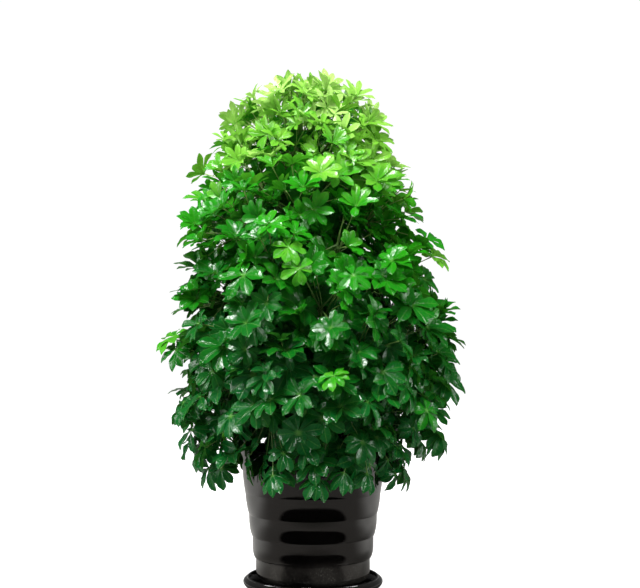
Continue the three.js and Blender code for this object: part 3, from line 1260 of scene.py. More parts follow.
        # Painted shade: leaves in the crown's hollows are darker, more so low down.
        leaf.tint -= self.hollow_shade * self.sunk(leaf.hub) * (1 - share)
        patch = self.shoot_tint * 2 * wander(s, self.shoot_tint_ratio)
        leaf.tint += patch * (1 - smooth_step(share, *self.shoot_tint_span))
        cupped, flat = self.cupping_spans
        cupping = self.cupping * smooth_step(share, *cupped) * (1 - smooth_step(share, *flat))
        leaf.droop += float(chance.normal(-cupping, self.droop_chance))
        by_height = blend(*self.sizes, smooth_step(share, *self.size_span))
        leaf.size *= float(chance.uniform(*self.size_chance)) * by_height
        leaf.size *= 1 - self.young_smallness * leaf.young

    @cached_property
    def by_shoot(self) -> list[list[Leaf]]:
        """Places every leaf. Each goes to the shoot whose tip is nearest its hub.

        Returns:
            The leaves of each shoot.
        """
        chance = np.random.default_rng(self.seed)
        paths = self.shoots.paths
        grown: list[list[Leaf]] = [[] for _ in paths]
        for layer in self.layers:
            orders = [0] * len(grown)
            for i in range(layer.count):
                leaf = self.place(layer, i)
                s = self.shoots.nearest(leaf.hub)
                leaf.root = paths[s].at(max(self.last_root, self.first_root - self.root_step * orders[s]))
                self.loosen(leaf, layer.looseness, self.lump * 2 * wander(s, self.lump_ratio), chance)
                self.age(leaf, layer, s, chance)
                orders[s] += 1
                grown[s].append(leaf)
        for stray in self.strays:
            hub = Vector(stray.hub)
            s = self.shoots.nearest(hub)
            face, share = Vector(stray.face).normalized(), limited(self.crown.share(hub.z), 0.0, 1.0)
            root = paths[s].at(self.first_root)
            grown[s].append(Leaf(hub, face, share, stray.droop, stray.size, root, stray.young))
        return grown


# ---------------------------------------------------------------- the shoots' meshes
@dataclass(frozen=True)
class Leaflets:
    """How a leaf's leaflets are cut, bent and set round their hub."""

    length: float = 0.061
    half_width: float = 0.0135
    fewest: int = 7
    most: int = 9
    fan: float = 5.9
    angle_spread: float = 0.10
    turn_chance: float = 0.6
    top_slimness: float = 0.66
    slimming_span: Span = (0.5, 0.95)
    short_side: float = 0.30
    back_curve: float = 1.5
    back_slimness: float = 0.2
    length_chance: Span = (0.9, 1.06)
    width_chance: Span = (0.88, 1.08)
    tilt_chance: float = 0.13
    tint_chance: float = 0.08
    bend: Span = (0.35, 1.0)
    top_bend: float = 0.75
    fold: Span = (0.20, 0.65)
    rows: int = 9
    columns: int = 5
    stem_sides: int = 6
    stalk_share: float = 0.10
    stalk_half_width: float = 0.0008
    widening: float = 0.74
    rounding: float = 2.2
    tip_open: float = 0.98
    pull_back: float = 0.08
    curl: float = 0.18
    waves: float = 11.0
    ripple: float = 0.16
    outline_steps: int = 100

    @property
    def fullness(self) -> float:
        """Finds what the outline's formula is multiplied by.

        Returns:
            The factor that makes the formula 1 where the blade is widest.
        """
        widths = []
        for part in steps_of(self.outline_steps):
            widths.append(part**self.widening * math.sqrt(1 - (self.tip_open * part) ** self.rounding))
        return 1 / max(widths)

    def values(self, blade: bpy.types.Material, stalk: bpy.types.Material) -> dict[str, Any]:
        """Finds what the geometry tree's inputs get.

        Args:
            blade: the leaf blades' material.
            stalk: the stems' and stalks' material.

        Returns:
            The values, by the inputs' names.
        """
        return {
            "Rows": self.rows,
            "Columns": self.columns,
            "Stem Sides": self.stem_sides,
            "Stalk Share": self.stalk_share,
            "Stalk Half Width": self.stalk_half_width,
            "Widening": self.widening,
            "Rounding": self.rounding,
            "Tip Open": self.tip_open,
            "Fullness": self.fullness,
            "Pull Back": self.pull_back,
            "Curl": self.curl,
            "Waves": self.waves,
            "Ripple": self.ripple,
            "Blade Material": blade,
            "Stalk Material": stalk,
        }

    @staticmethod
    def tree(values: dict[str, Any]) -> bpy.types.NodeTree:
        """Builds the geometry tree that grows blades on points and tubes on edges.

        Its mesh input has a point for each leaflet, with its hub, the way it points and faces, its length,
        width, bend and fold. It also has edges for each stem and stalk, with a girth at each point.

        Args:
            values: its inputs' defaults, by name.

        Returns:
            The tree.
        """
        graph = Group("umbrella_leaves", {"Geometry": Sort.SHAPE, **values}, "GeometryNodeTree")
        given = graph.given

        def named(name: str, kind: str = "FLOAT") -> Value:
            """Reads an attribute of the mesh."""
            return graph.add("GeometryNodeInputNamedAttribute", {"Name": name}, data_type=kind)[0]

        # A flat square grid stands on each leaflet's point.
        size = {"Size X": 1.0, "Size Y": 1.0, "Vertices X": given["Rows"], "Vertices Y": given["Columns"]}
        corner = graph.split(graph.add("GeometryNodeInputPosition")[0])
        along = graph.math("SINE", (corner["X"] + 0.5) * (math.pi / 2))
        blade = graph.add("ShaderNodeCombineXYZ", {"X": along, "Y": corner["Y"] * 2.0})[0]
        grid = graph.add("GeometryNodeMeshGrid", size)["Mesh"]
        inputs = {"Geometry": grid, "Name": "blade", "Value": blade}
        store = "GeometryNodeStoreNamedAttribute"
        marked = graph.add(store, inputs, data_type="FLOAT_VECTOR", domain="POINT")[0]
        is_leaflet = graph.math("GREATER_THAN", named("reach"), 0.0)
        inputs = {"Points": given["Geometry"], "Selection": is_leaflet, "Instance": marked}
        standing = graph.add("GeometryNodeInstanceOnPoints", inputs)[0]
        loose = graph.add("GeometryNodeRealizeInstances", {"Geometry": standing})[0]

        # Its points move to where the blade's outline, bend and fold put them.
        place = graph.split(named("blade", "FLOAT_VECTOR"))
        base, across = place["X"], place["Y"]
        away = abs(across)
        squared = across * across
        along = base - squared * given["Pull Back"] * base
        part = ((base - given["Stalk Share"]) / (1.0 - given["Stalk Share"])).clamped()
        closing = graph.math("SQRT", 1.0 - (part * given["Tip Open"]) ** given["Rounding"])
        outline = part ** given["Widening"] * closing * given["Fullness"]
        width = graph.math("MAXIMUM", outline * named("breadth"), given["Stalk Half Width"])
        bend, rise = named("bend"), named("rise")
        angle = rise - bend * along
        sine, cosine = graph.math("SINE", angle), graph.math("COSINE", angle)
        radius = named("reach") / bend
        wave = graph.math("SINE", along * given["Waves"] + named("phase") + across) * given["Ripple"]
        lift = (named("fold") * away - squared * given["Curl"] + wave * squared) * width
        outwards = (graph.math("SINE", rise) - sine) * radius - sine * lift
        upwards = (cosine - graph.math("COSINE", rise)) * radius + cosine * lift
        points_out, faces = named("points_out", "FLOAT_VECTOR"), named("faces", "FLOAT_VECTOR")
        sideways = graph.scaled(graph.vector("CROSS_PRODUCT", faces, points_out), across * width)
        moved = graph.vector("ADD", graph.scaled(points_out, outwards), graph.scaled(faces, upwards))
        moved = graph.vector("ADD", graph.vector("ADD", moved, sideways), named("hub", "FLOAT_VECTOR"))
        shaped = graph.add("GeometryNodeSetPosition", {"Geometry": loose, "Position": moved})[0]
        dressed = {"Geometry": shaped, "Material": given["Blade Material"]}
        green = graph.add("GeometryNodeSetMaterial", dressed)[0]

        # Stems and stalks are tubes along the mesh's edges.
        lines = graph.add("GeometryNodeMeshToCurve", {"Mesh": given["Geometry"]})[0]
        inputs = {"Resolution": given["Stem Sides"], "Radius": 1.0}
        section = graph.add("GeometryNodeCurvePrimitiveCircle", inputs)[0]
        inputs = {"Curve": lines, "Profile Curve": section, "Scale": named("girth"), "Fill Caps": True}
        tubes = graph.add("GeometryNodeCurveToMesh", inputs)[0]
        dressed = {"Geometry": tubes, "Material": given["Stalk Material"]}
        woody = graph.add("GeometryNodeSetMaterial", dressed)[0]

        whole = graph.add("GeometryNodeJoinGeometry", {0: woody})
        whole.feed({0: green})
        smoothed = graph.add("GeometryNodeSetShadeSmooth", {"Geometry": whole[0], "Shade Smooth": True})[0]
        plain = graph.add("GeometryNodeRealizeInstances", {"Geometry": smoothed})[0]
        return graph.closed({"Geometry": plain})


class Sprig:
    """The points and edges from which one shoot grows."""

    KEYS = ("reach", "breadth", "rise", "bend", "fold", "phase", "tint", "young", "girth")

    def __init__(self) -> None:
        """Starts with nothing."""
        self.points: list[Vector] = []
        self.edges: list[tuple[int, int]] = []
        self.numbers: dict[str, list[float]] = {key: [] for key in self.KEYS}
        self.points_out: list[Vector] = []
        self.faces: list[Vector] = []

    def add_point(self, point: Vector, out: Vector = UP, face: Vector = UP, **numbers: float) -> None:
        """Adds a point.

        Args:
            point: where it is.
            out: the way that its leaflet points.
            face: the way that its leaflet faces.
            **numbers: its other numbers, which are 0 where none is given.
        """
        self.points.append(point)
        self.points_out.append(out)
        self.faces.append(face)
        for key in self.KEYS:
            self.numbers[key].append(numbers.get(key, 0.0))

    def add_tube(self, points: list[Vector], girths: list[float], young: list[float]) -> None:
        """Adds a stem or stalk.

        Args:
            points: the points along it.
            girths: its radius at each point.
            young: how young it is at each point, from 0 to 1.
        """
        first = len(self.points)
        for point, girth, age in zip(points, girths, young):
            self.add_point(point, girth=girth, young=age)
        self.edges += [(i, i + 1) for i in range(first, first + len(points) - 1)]

    def mesh(self, name: str) -> bpy.types.Mesh:
        """Makes the mesh that the geometry tree takes in.

        Args:
            name: the mesh's name.

        Returns:
            The mesh, with an attribute for everything that its points carry.
        """
        mesh = mesh_of(name, self.points, (), self.edges)
        vectors = {"hub": self.points, "points_out": self.points_out, "faces": self.faces}
        for key, values in {**vectors, **self.numbers}.items():
            put_attribute(mesh, key, np.array(values))
        return mesh


@dataclass
class Foliage:
    """The leafy shoots: stems, stalks and leaflets."""

    leaves: Leaves
    cut: Leaflets
    blade: bpy.types.Material
    stalk: bpy.types.Material
    stem_steps: int = 10
    stem_age: float = 0.5
    stalk_steps: int = 6
    stalk_foot: float = 0.0017
    stalk_tip: float = 0.0010
    stalk_ages: Span = (0.35, 1.0)
    stalk_bend_at: float = 0.6
    stalk_behind: float = 0.12
    stalk_rise: float = 0.1
    stalk_short: float = 0.001
    foot_swelling: float = 0.5
    foot_share: float = 0.2
    tip_swelling: float = 0.7
    tip_from: float = 0.9
    first_hangs: Span = (1.1, -0.9)
    seed: int = 21

    def add_stalk(self, sprig: Sprig, leaf: Leaf) -> None:
        """Adds one leaf's stalk, which is swollen at both ends.

        Args:
            sprig: the sprig that it is added to.
            leaf: the leaf.
        """
        length = (leaf.hub - leaf.root).length
        bend = leaf.root.lerp(leaf.hub, self.stalk_bend_at)
        bend = bend - leaf.face * (self.stalk_behind * length) + UP * (self.stalk_rise * length)
        path = Bezier(leaf.root, bend, leaf.hub - leaf.face * self.stalk_short)
        girths = []
        for part in steps_of(self.stalk_steps):
            at_foot = self.foot_swelling * (1 - smooth_step(part, 0.0, self.foot_share))
            swollen = 1 + at_foot + self.tip_swelling * smooth_step(part, self.tip_from, 1.0)
            girths.append(blend(self.stalk_foot, self.stalk_tip, part) * swollen)
        ages = [blend(*self.stalk_ages, part) for part in steps_of(self.stalk_steps)]
        sprig.add_tube(path.points(self.stalk_steps), girths, ages)

    def add_blades(self, sprig: Sprig, leaf: Leaf, chance: np.random.Generator) -> None:
        """Adds one leaf's leaflets.

        Args:
            sprig: the sprig that they are added to.
            leaf: the leaf.
            chance: the random numbers.
        """
        cut = self.cut
        forward = (leaf.hub - leaf.root).normalized() - UP * blend(*self.first_hangs, leaf.share)
        forward = (forward - leaf.face * forward.dot(leaf.face)).normalized()
        side = leaf.face.cross(forward)
        count = int(chance.integers(cut.fewest, cut.most + 1))
        start = float(chance.normal(0.0, cut.turn_chance))
        slimming = blend(1.0, cut.top_slimness, smooth_step(leaf.share, *cut.slimming_span))
        breadth = cut.half_width * leaf.size * slimming
        for k in range(count):
            angle = cut.fan * ((k + 0.5) / count - 0.5) + start
            angle += float(chance.normal(0.0, cut.angle_spread))
            back = (abs(angle) / math.pi) ** cut.back_curve
            reach = cut.length * leaf.size * (1 - cut.short_side * back)
            reach *= float(chance.uniform(*cut.length_chance))
            arch = blend(*cut.bend, float(chance.random()))
            arch *= blend(1.0, cut.top_bend, leaf.share)
            chord = -math.atan(leaf.droop) + float(chance.normal(0.0, cut.tilt_chance))
            sprig.add_point(
                leaf.hub,
                forward * math.cos(angle) + side * math.sin(angle),
                leaf.face,
                reach=reach,
                breadth=breadth * float(chance.uniform(*cut.width_chance)) * (1 - cut.back_slimness * back),
                rise=chord + arch / 2,
                bend=arch,
                fold=blend(*cut.fold, float(chance.random())),
                phase=float(chance.uniform(0.0, TURN)),
                tint=leaf.tint + float(chance.normal(0.0, cut.tint_chance)),
                young=leaf.young,
            )

    def build(self) -> None:
        """Grows every shoot, each in place of its CAD node."""
        values = self.cut.values(self.blade, self.stalk)
        tree = self.cut.tree(values)
        shoots = self.leaves.shoots
        parts = steps_of(self.stem_steps)
        girths = [blend(shoots.foot_radius, shoots.tip_radius, part) for part in parts]
        for s, (path, leaves) in enumerate(zip(shoots.paths, self.leaves.by_shoot)):
            chance = np.random.default_rng([self.seed, s])
            sprig = Sprig()
            sprig.add_tube(path.points(self.stem_steps), girths, [self.stem_age * part for part in parts])
            for leaf in leaves:
                self.add_stalk(sprig, leaf)
                self.add_blades(sprig, leaf, chance)
            name = f"leafy_shoot_{s + 1:02d}"
            dress(run_tree(tree, sprig.mesh(name + "_seed"), name, values), f"shoot_{s + 1:02d}")


def run_tree(
    tree: bpy.types.NodeTree, mesh: bpy.types.Mesh, name: str, values: dict[str, Any]
) -> bpy.types.Object:
    """Runs a geometry tree on a mesh.

    Args:
        tree: the tree.
        mesh: what goes into it.
        name: the new piece's name.
        values: what the tree's other inputs get, by name.

    Returns:
        A piece that holds the result as a plain mesh.
    """
    source = link_object(name + "_source", mesh)
    modifier = source.modifiers.new("grow", "NODES")
    modifier.node_group = tree
    for item in tree.interface.items_tree:
        if item.in_out == Way.IN.value and item.name in values:
            modifier[item.identifier] = values[item.name]
    depsgraph = bpy.context.evaluated_depsgraph_get()
    grown = source.evaluated_get(depsgraph)
    plain = bpy.data.meshes.new_from_object(grown, preserve_all_data_layers=True, depsgraph=depsgraph)
    bpy.data.objects.remove(source)
    plain.name = name
    return link_object(name, plain)


def dress(piece: bpy.types.Object, node: str) -> None:
    """Makes a piece stand for a CAD node, on the plant's one body, and hides the node.

    Args:
        piece: the piece.
        node: the CAD node's name.
    """
    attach(piece, BODY)
    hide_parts(node)
    LOG.info("%s: %d faces", piece.name, len(piece.data.polygons))


def add_piece(mesh: bpy.types.Mesh, material: bpy.types.Material, node: str) -> None:
    """Puts a mesh with its material in the scene, in place of a CAD node."""
    mesh.materials.append(material)
    dress(link_object(mesh.name, mesh), node)


# ---------------------------------------------------------------- canes, compost, pot and saucer
@dataclass
class Wood:
    """The canes' meshes: rods with a low ridge at each old leaf scar."""

    canes: Canes
    bark: bpy.types.Material
    steps: int = 150
    sides: int = 20
    look_ahead: float = 0.001
    thinness: float = 0.94
    scar_gap: float = 0.021
    scar_slant: float = 0.25
    scar_width: float = 0.09
    scar_height: float = 0.07
    sway: float = 0.025
    sway_lobes: int = 3
    sway_turn: float = 40.0
    sharp: float = 60.0

    def swelling(self, k: int, angle: float, height: float) -> float:
        """Finds how much thicker a cane is than its even taper.

        Args:
            k: the cane's number.
            angle: the place's angle about the cane, in radians.
            height: its height.

        Returns:
            What the cane's radius is multiplied by.
        """
        ring = (height / self.scar_gap + self.scar_slant * math.sin(angle + k)) % 1
        scar = self.scar_height * math.exp(-(((ring - 0.5) / self.scar_width) ** 2))
        uneven = self.sway * math.sin(self.sway_lobes * angle + self.sway_turn * height + k)
        return self.thinness + scar + uneven

    def rod(self, k: int, curve: Bezier) -> bpy.types.Mesh:
        """Makes the mesh of a cane.

        Args:
            k: the cane's number.
            curve: its line.

        Returns:
            The mesh.
        """
        points: list[Vector] = []
        for part in steps_of(self.steps):
            centre = curve.at(part)
            ahead = curve.at(min(1.0, part + self.look_ahead)) - curve.at(max(0.0, part - self.look_ahead))
            across = ahead.cross(Vector((0.0, 1.0, 0.0))).normalized()
            side = ahead.normalized().cross(across)
            base = blend(self.canes.foot_radius, self.canes.top_radius, part)
            for j in range(self.sides):
                angle = TURN * j / self.sides
                radius = base * self.swelling(k, angle, centre.z)
                aside = side * (radius * math.sin(angle))
                points.append(centre + across * (radius * math.cos(angle)) + aside)
        faces: list[list[int]] = []
        for low in range(0, self.steps * self.sides, self.sides):
            high = low + self.sides
            for j in range(self.sides):
                turn = (j + 1) % self.sides
                faces.append([low + j, low + turn, high + turn, high + j])
        faces.append(list(range(self.sides - 1, -1, -1)))
        faces.append([self.steps * self.sides + j for j in range(self.sides)])
        return smooth(mesh_of(f"woody_cane_{k + 1}", points, faces), self.sharp)

    def build(self) -> None:
        """Builds every cane."""
        for k, curve in enumerate(self.canes.curves):
            add_piece(self.rod(k, curve), self.bark, f"cane_{k + 1}")


@dataclass
class Pot:
    """The pot: one moulded shell of six tiers, each rolled in under its lip to the narrower one below."""

    plastic: bpy.types.Material
    underside: float = 0.028
    top: float = 0.340
    tier_radii: tuple[float, ...] = (0.136, 0.1445, 0.153, 0.162, 0.1685, 0.174)
    lip_heights: tuple[float, ...] = (0.028, 0.040, 0.050, 0.051, 0.051)
    lip_powers: tuple[float, ...] = (1.9, 1.58, 1.30, 1.22, 1.22)
    lip_steps: int = 10
    edge_round: float = 0.019
    edge_steps: int = 12
    taper: float = 0.0003
    wall: float = 0.004
    floor: float = 0.006
    rim_width: float = 0.007
    rim_height: float = 0.009
    rim_break: float = 0.0015
    rim_start: float = 10.0
    rim_steps: tuple[int, int] = (5, 6)
    inside_round: float = 0.010
    drain_radius: float = 0.014
    segments: int = 192
    sharp: float = 32.0

    @property
    def tier_height(self) -> float:
        """The height of one tier."""
        return (self.top - self.underside) / len(self.tier_radii)

    @property
    def rim_inside(self) -> tuple[float, float]:
        """The inner lower edge of the thick rim, as a radius and a height."""
        return self.tier_radii[-1] - self.rim_width, self.top - self.rim_height

    def lip(self, i: int) -> Outline:
        """Finds the outline of a tier's rounded lip.

        Args:
            i: the tier's number, from the bottom.

        Returns:
            The outline, out from the tier below and up.
        """
        foot = self.underside + i * self.tier_height
        below = self.tier_radii[i - 1]
        overhang = self.tier_radii[i] - self.taper - below
        height, power = self.lip_heights[i - 1], self.lip_powers[i - 1]
        outline = []
        for step in steps_of(self.lip_steps):
            part = 1 - math.cos(step * math.pi / 2)
            bulge = (1 - (1 - part) ** power) ** (1 / power)
            outline.append((below + overhang * bulge, foot + height * part))
        return outline

    def outside(self) -> Outline:
        """Finds the outline of the pot's outside.

        Returns:
            The outline, from the underside up to the rim.
        """
        centre = (self.tier_radii[0] - self.edge_round, self.underside + self.edge_round)
        outline = arc(centre, self.edge_round - self.taper, self.edge_round, -90, 0, self.edge_steps)
        for i, radius in enumerate(self.tier_radii):
            if i > 0:
                outline += self.lip(i)
            outline.append((radius, self.underside + i * self.tier_height + self.tier_height))
        outline[-1] = (self.tier_radii[-1], self.top - self.rim_break)
        return outline

    def inside(self) -> Outline:
        """Finds the outline of the pot's inside wall, where the tiers' steps are slopes.

        Returns:
            The outline, from the floor up.
        """
        outline = [(self.tier_radii[0] - self.wall - self.inside_round, self.underside + self.floor)]
        for i, radius in enumerate(self.tier_radii[:-1]):
            outline.append((radius - self.wall, self.underside + (i + 1) * self.tier_height))
        return outline

    def build(self) -> None:
        """Builds the pot."""
        size = self.rim_break
        rim_inner, rim_foot = self.rim_inside
        outline = [(self.drain_radius, self.underside), *self.outside()]
        outer_steps, inner_steps = self.rim_steps
        outer = (self.tier_radii[-1] - size, self.top - size)
        outline += arc(outer, size, size, self.rim_start, 90, outer_steps)
        outline += arc((rim_inner + size, self.top - size), size, size, 90, 180, inner_steps)
        outline += [(rim_inner, rim_foot), *reversed(self.inside())]
        outline.append((self.drain_radius, self.underside + self.floor))
        add_piece(turned("tiered_pot", outline, self.segments, self.sharp), self.plastic, "pot")


@dataclass
class Saucer:
    """The saucer: a drip tray with a bulged wall and a ring that the pot sits on."""

    plastic: bpy.types.Material
    height: float = 0.036
    base_radius: float = 0.140
    widest_radius: float = 0.165
    widest_height: float = 0.020
    rim_radius: float = 0.157
    wall: float = 0.004
    floor: float = 0.004
    wall_steps: int = 24
    inside_from: int = 5
    rim_start: float = 15.0
    rim_steps: int = 8
    seat_radius: float = 0.111
    seat_width: float = 0.008
    seat_top: float = 0.0277
    seat_break: float = 0.0008
    segments: int = 192
    sharp: float = 32.0

    def build(self) -> None:
        """Builds the saucer."""
        half = self.wall / 2
        foot = Vector((self.base_radius, 0.0, 0.0))
        rim = Vector((self.rim_radius, self.height - half, 0.0))
        belly = Vector((self.widest_radius, self.widest_height, 0.0))
        side = Bezier(foot, belly * 2 - (foot + rim) / 2, rim)
        outside = [(p.x, p.y) for p in side.points(self.wall_steps)]
        inside = [(radius - self.wall, height) for radius, height in reversed(outside[self.inside_from :])]
        inner = self.seat_radius - self.seat_width / 2
        outer = self.seat_radius + self.seat_width / 2
        shoulder = self.seat_top - self.seat_break
        outline = [(0.0, 0.0), *outside]
        ends = (self.rim_start, 180 - self.rim_start)
        outline += arc((self.rim_radius - half, rim.y), half, half, *ends, self.rim_steps)
        outline += [*inside, (self.base_radius, self.floor), (outer, self.floor)]
        outline += [(outer, shoulder), (outer - self.seat_break, self.seat_top)]
        outline += [(inner + self.seat_break, self.seat_top), (inner, shoulder)]
        outline += [(inner, self.floor), (0.0, self.floor)]
        add_piece(turned("bulged_saucer", outline, self.segments, self.sharp), self.plastic, "saucer")


@dataclass
class Compost:
    """The compost in the pot: a low mound with crumbs on it."""

    earth: bpy.types.Material
    pot: Pot
    gap: float = 0.0003
    edge_top: float = 0.300
    middle_top: float = 0.307
    rings: int = 24
    segments: int = 96
    sharp: float = 45.0
    lump_height: float = 0.0008
    lump_edge: float = 0.002
    lump_waves: tuple[float, ...] = (190.0, 170.0, 310.0, 260.0)
    lump_shift: float = 2.0
    crumbs: int = 900
    crumb_size: Span = (0.0012, 0.0038)
    crumbs_below: float = 0.001
    seed: int = 5

    @property
    def edge_radius(self) -> float:
        """The radius at which the mound meets the pot's wall."""
        (low_radius, low), (high_radius, high) = self.pot.inside()[-1], self.pot.rim_inside
        return blend(low_radius, high_radius, (self.edge_top - low) / (high - low)) - self.gap

    @staticmethod
    def crumb_tree(values: dict[str, Any]) -> bpy.types.NodeTree:
        """Builds the geometry tree that scatters crumbs on the mound's top.

        Args:
            values: its inputs' defaults, by name.

        Returns:
            The tree.
        """
        graph = Group("compost_crumbs", {"Geometry": Sort.SHAPE, **values}, "GeometryNodeTree")
        given = graph.given
        mound, seed = given["Geometry"], given["Seed"]
        height = graph.split(graph.add("GeometryNodeInputPosition")[0])["Z"]
        is_top = graph.math("GREATER_THAN", height, given["Lowest"])
        spread = {"Mesh": mound, "Selection": is_top, "Density": given["Density"], "Seed": seed}
        ends = {0: given["Smallest"], 1: given["Largest"], "Seed": seed}
        turns = {0: (0.0, 0.0, 0.0), 1: (CRUMB_TURN, CRUMB_TURN, CRUMB_TURN)}
        turn = graph.add("FunctionNodeRandomValue", turns, data_type="FLOAT_VECTOR")[0]
        inputs = {
            "Points": graph.add("GeometryNodeDistributePointsOnFaces", spread)["Points"],
            "Instance": graph.add("GeometryNodeMeshIcoSphere", {"Radius": 1.0, "Subdivisions": 1})[0],
            "Rotation": graph.add("FunctionNodeEulerToRotation", {0: turn})[0],
            "Scale": graph.add("FunctionNodeRandomValue", ends, data_type="FLOAT_VECTOR")[0],
        }
        standing = graph.add("GeometryNodeInstanceOnPoints", inputs)[0]
        whole = graph.add("GeometryNodeJoinGeometry", {0: standing})
        whole.feed({0: mound})
        plain = graph.add("GeometryNodeRealizeInstances", {"Geometry": whole[0]})[0]
        brown = graph.add("GeometryNodeSetMaterial", {"Geometry": plain, "Material": given["Material"]})[0]
        return graph.closed({"Geometry": brown})

    def mound(self) -> bpy.types.Mesh:
        """Makes the mound's mesh, with low lumps on its top.

        Returns:
            The mesh.
        """
        edge = self.edge_radius
        wall = [(radius - self.gap, height) for radius, height in self.pot.inside()]
        foot = wall[0][1] + self.gap
        outline = [(0.0, foot), (wall[0][0], foot), *wall[1:]]
        for part in steps_of(self.rings)[:-1]:
            outline.append((edge * (1 - part), blend(self.edge_top, self.middle_top, part)))
        outline.append((0.0, self.middle_top))
        mesh = turned("compost_mound", outline, self.segments, self.sharp)
        along, across, slant, back = self.lump_waves
        for vertex in mesh.vertices:
            x, y, z = vertex.co
            if z > self.edge_top and math.hypot(x, y) < edge - self.lump_edge:
                lump = math.sin(along * x + self.lump_shift) * math.sin(across * y)
                vertex.co.z += self.lump_height * (lump + math.sin(slant * x - back * y))
        return mesh

    def build(self) -> None:
        """Builds the compost."""
        values = {
            "Density": self.crumbs / (math.pi * self.edge_radius * self.edge_radius),
            "Smallest": self.crumb_size[0],
            "Largest": self.crumb_size[1],
            "Lowest": self.edge_top - self.crumbs_below,
            "Seed": self.seed,
            "Material": self.earth,
        }
        dress(run_tree(self.crumb_tree(values), self.mound(), "potting_compost", values), "soil")


# ---------------------------------------------------------------- studio
@dataclass(frozen=True)
class Lamp:
    """A soft rectangular light that points at the middle of the crown."""

    name: str
    place: Place
    size: Span
    power: float
    aim: Place = (0.0, 0.0, 0.65)

    def build(self) -> None:
        """Adds the light."""
        data = bpy.data.lights.new(self.name, "AREA")
        data.shape = "RECTANGLE"
        data.size, data.size_y = self.size
        data.energy = self.power
        light = link_object(self.name, data)
        light.location = self.place
        light.visible_camera = False
        light.rotation_euler = (Vector(self.aim) - Vector(self.place)).to_track_quat("-Z", "Y").to_euler()


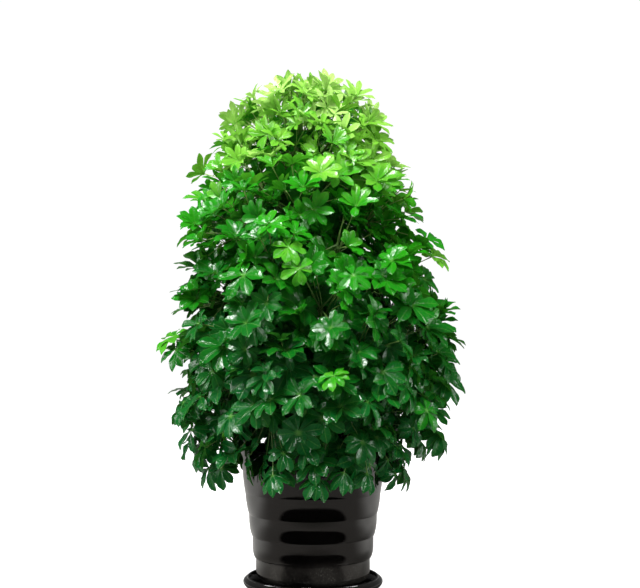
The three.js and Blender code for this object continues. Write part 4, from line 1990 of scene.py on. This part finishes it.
@dataclass
class Studio:
    """The camera, the pale floor and the soft light."""

    camera_place: Place = (0.0168, -3.0, 0.623)
    camera_pitch: float = 1.6
    lens: float = 70.3
    sensor: float = 36.0
    floor_radius: float = 9.0
    floor_height: float = -0.0005
    floor_segments: int = 96
    floor_sharp: float = 180.0
    floor_tones: tuple[Colour, Colour] = ((0.885, 0.885, 0.885, 1), (0.90, 0.90, 0.90, 1))
    tone_scale: float = 3.0
    tone_span: Span = (0.3, 0.7)
    floor_roughness: float = 0.9
    floor_glow: float = 0.62
    floor_unseen: Colour = (0.34, 0.34, 0.34, 1)
    near_shine: Colour = (0.12, 0.112, 0.102, 1)
    far_shine: Colour = (0.035, 0.036, 0.028, 1)
    shine_span: Span = (-1.25, -0.65)
    back_shine: Colour = (0.45, 0.44, 0.42, 1)
    back_span: Span = (0.0, 0.55)
    back_lean: float = 0.35
    # Painted shade: a black oval on the floor in front of the pot, which only reflections see, for the dark
    # reflections in the pot's tiers.
    painted_shade_middle: Place = (0.0, -0.40, 0.0)
    painted_shade_reach: Place = (0.45, 0.285, 1.0)
    painted_shade_edge: float = 0.85
    horizon: float = 0.56
    zenith: float = 0.70
    shine_horizon: float = 0.20
    shine_zenith: float = 0.09
    shine_heights: Span = (0.05, 0.45)
    backdrop: float = 1.02
    lamps: tuple[Lamp, ...] = (
        Lamp("key", (-0.7, -1.7, 3.0), (1.0, 1.0), 172.0),
        Lamp("right_strip", (2.3, -0.6, 1.0), (0.5, 2.0), 36.0),
        Lamp("left_strip", (-2.2, -0.3, 0.8), (0.5, 2.0), 36.0),
    )

    def add_camera(self) -> None:
        """Adds the camera at the photograph's viewing angle."""
        data = bpy.data.cameras.new("camera")
        data.lens = self.lens
        data.sensor_width = self.sensor
        camera = link_object("camera", data)
        camera.location = self.camera_place
        camera.rotation_euler = (math.radians(90 + self.camera_pitch), 0.0, 0.0)
        bpy.context.scene.camera = camera

    def add_floor(self) -> None:
        """Adds the pale floor. In reflections it is darker, with painted shade: a black oval in front of
        the pot that only reflections see.
        """
        outline = [(0.0, self.floor_height), (self.floor_radius, self.floor_height)]
        mesh = turned("floor", outline, self.floor_segments, self.floor_sharp)
        mesh.flip_normals()
        surface = Surface("pale_floor")
        graph = surface.graph
        ray = graph.add("ShaderNodeLightPath")
        seen = ray["Is Camera Ray"]
        tone = graph.ramped(graph.noise(surface.where, self.tone_scale), *self.tone_span)
        card = {"Vector": surface.where, "Location": self.painted_shade_middle, "Scale": self.painted_shade_reach}
        on_painted_shade = graph.add("ShaderNodeMapping", card, vector_type="TEXTURE")[0]
        from_painted_shade = graph.add("ShaderNodeVectorMath", {0: on_painted_shade}, operation="LENGTH")["Value"]
        spot = graph.split(surface.where)
        behind = graph.ramped(spot["Y"] + abs(spot["X"]) * self.back_lean, *self.back_span)
        front = graph.mixed(graph.ramped(spot["Y"], *self.shine_span), self.far_shine, self.near_shine)
        around = graph.mixed(behind, front, self.back_shine)
        # Reflections see painted shine on the floor, and the black oval of painted shade.
        mirrored = graph.mixed(graph.ramped(from_painted_shade, self.painted_shade_edge, 1.0), BLACK, around)
        unseen = graph.mixed(ray["Is Glossy Ray"], self.floor_unseen, mirrored)
        inputs = {
            "Base Color": graph.mixed(seen, unseen, graph.mixed(tone, *self.floor_tones)),
            "Roughness": self.floor_roughness,
            "Specular IOR Level": 0.0,
            "Emission Color": WHITE,
            "Emission Strength": seen * self.floor_glow,
        }
        surface.shader.feed(inputs)
        mesh.materials.append(surface.material)
        link_object("floor", mesh)

    def add_world(self) -> None:
        """Adds soft white light from all round, darker overhead in reflections, and a white backdrop."""
        world = bpy.data.worlds.new("studio")
        world.use_nodes = True
        bpy.context.scene.world = world
        graph = Graph(world.node_tree)
        height = abs(graph.split(graph.add("ShaderNodeTexCoord")["Generated"])["Z"])
        lighting = graph.ramped(height, 0.0, 1.0, self.horizon, self.zenith)
        shining = graph.ramped(height, *self.shine_heights, self.shine_horizon, self.shine_zenith)
        ray = graph.add("ShaderNodeLightPath")
        glossy = ray["Is Glossy Ray"]
        strength = lighting * (1.0 - glossy) + shining * glossy
        strength = graph.math("MAXIMUM", strength, ray["Is Camera Ray"] * self.backdrop)
        graph.existing("Background").feed({"Strength": strength, "Color": WHITE})

    def build(self) -> None:
        """Builds the studio."""
        self.add_camera()
        self.add_floor()
        self.add_world()
        for lamp in self.lamps:
            lamp.build()
        bpy.context.scene.view_settings.view_transform = "Standard"


def main() -> None:
    """Builds the studio and the plant."""
    logging.basicConfig(level=logging.INFO, format="%(message)s")
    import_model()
    Studio().build()

    effects = Effects()
    pot = Pot(PlasticFinish(effects, "pot_plastic", foot_dust=0.55).material())
    Saucer(PlasticFinish(effects, "saucer_plastic", dust_amount=0.03).material()).build()
    pot.build()
    crown = Crown()
    canes = Canes(crown)
    Compost(CompostFinish(effects).material(), pot).build()
    Wood(canes, BarkFinish(effects).material()).build()
    leaves = Leaves(crown, Shoots(crown, canes))
    Foliage(leaves, Leaflets(), BladeFinish(effects).material(), StalkFinish(effects).material()).build()


if __name__ == "__main__":
    main()
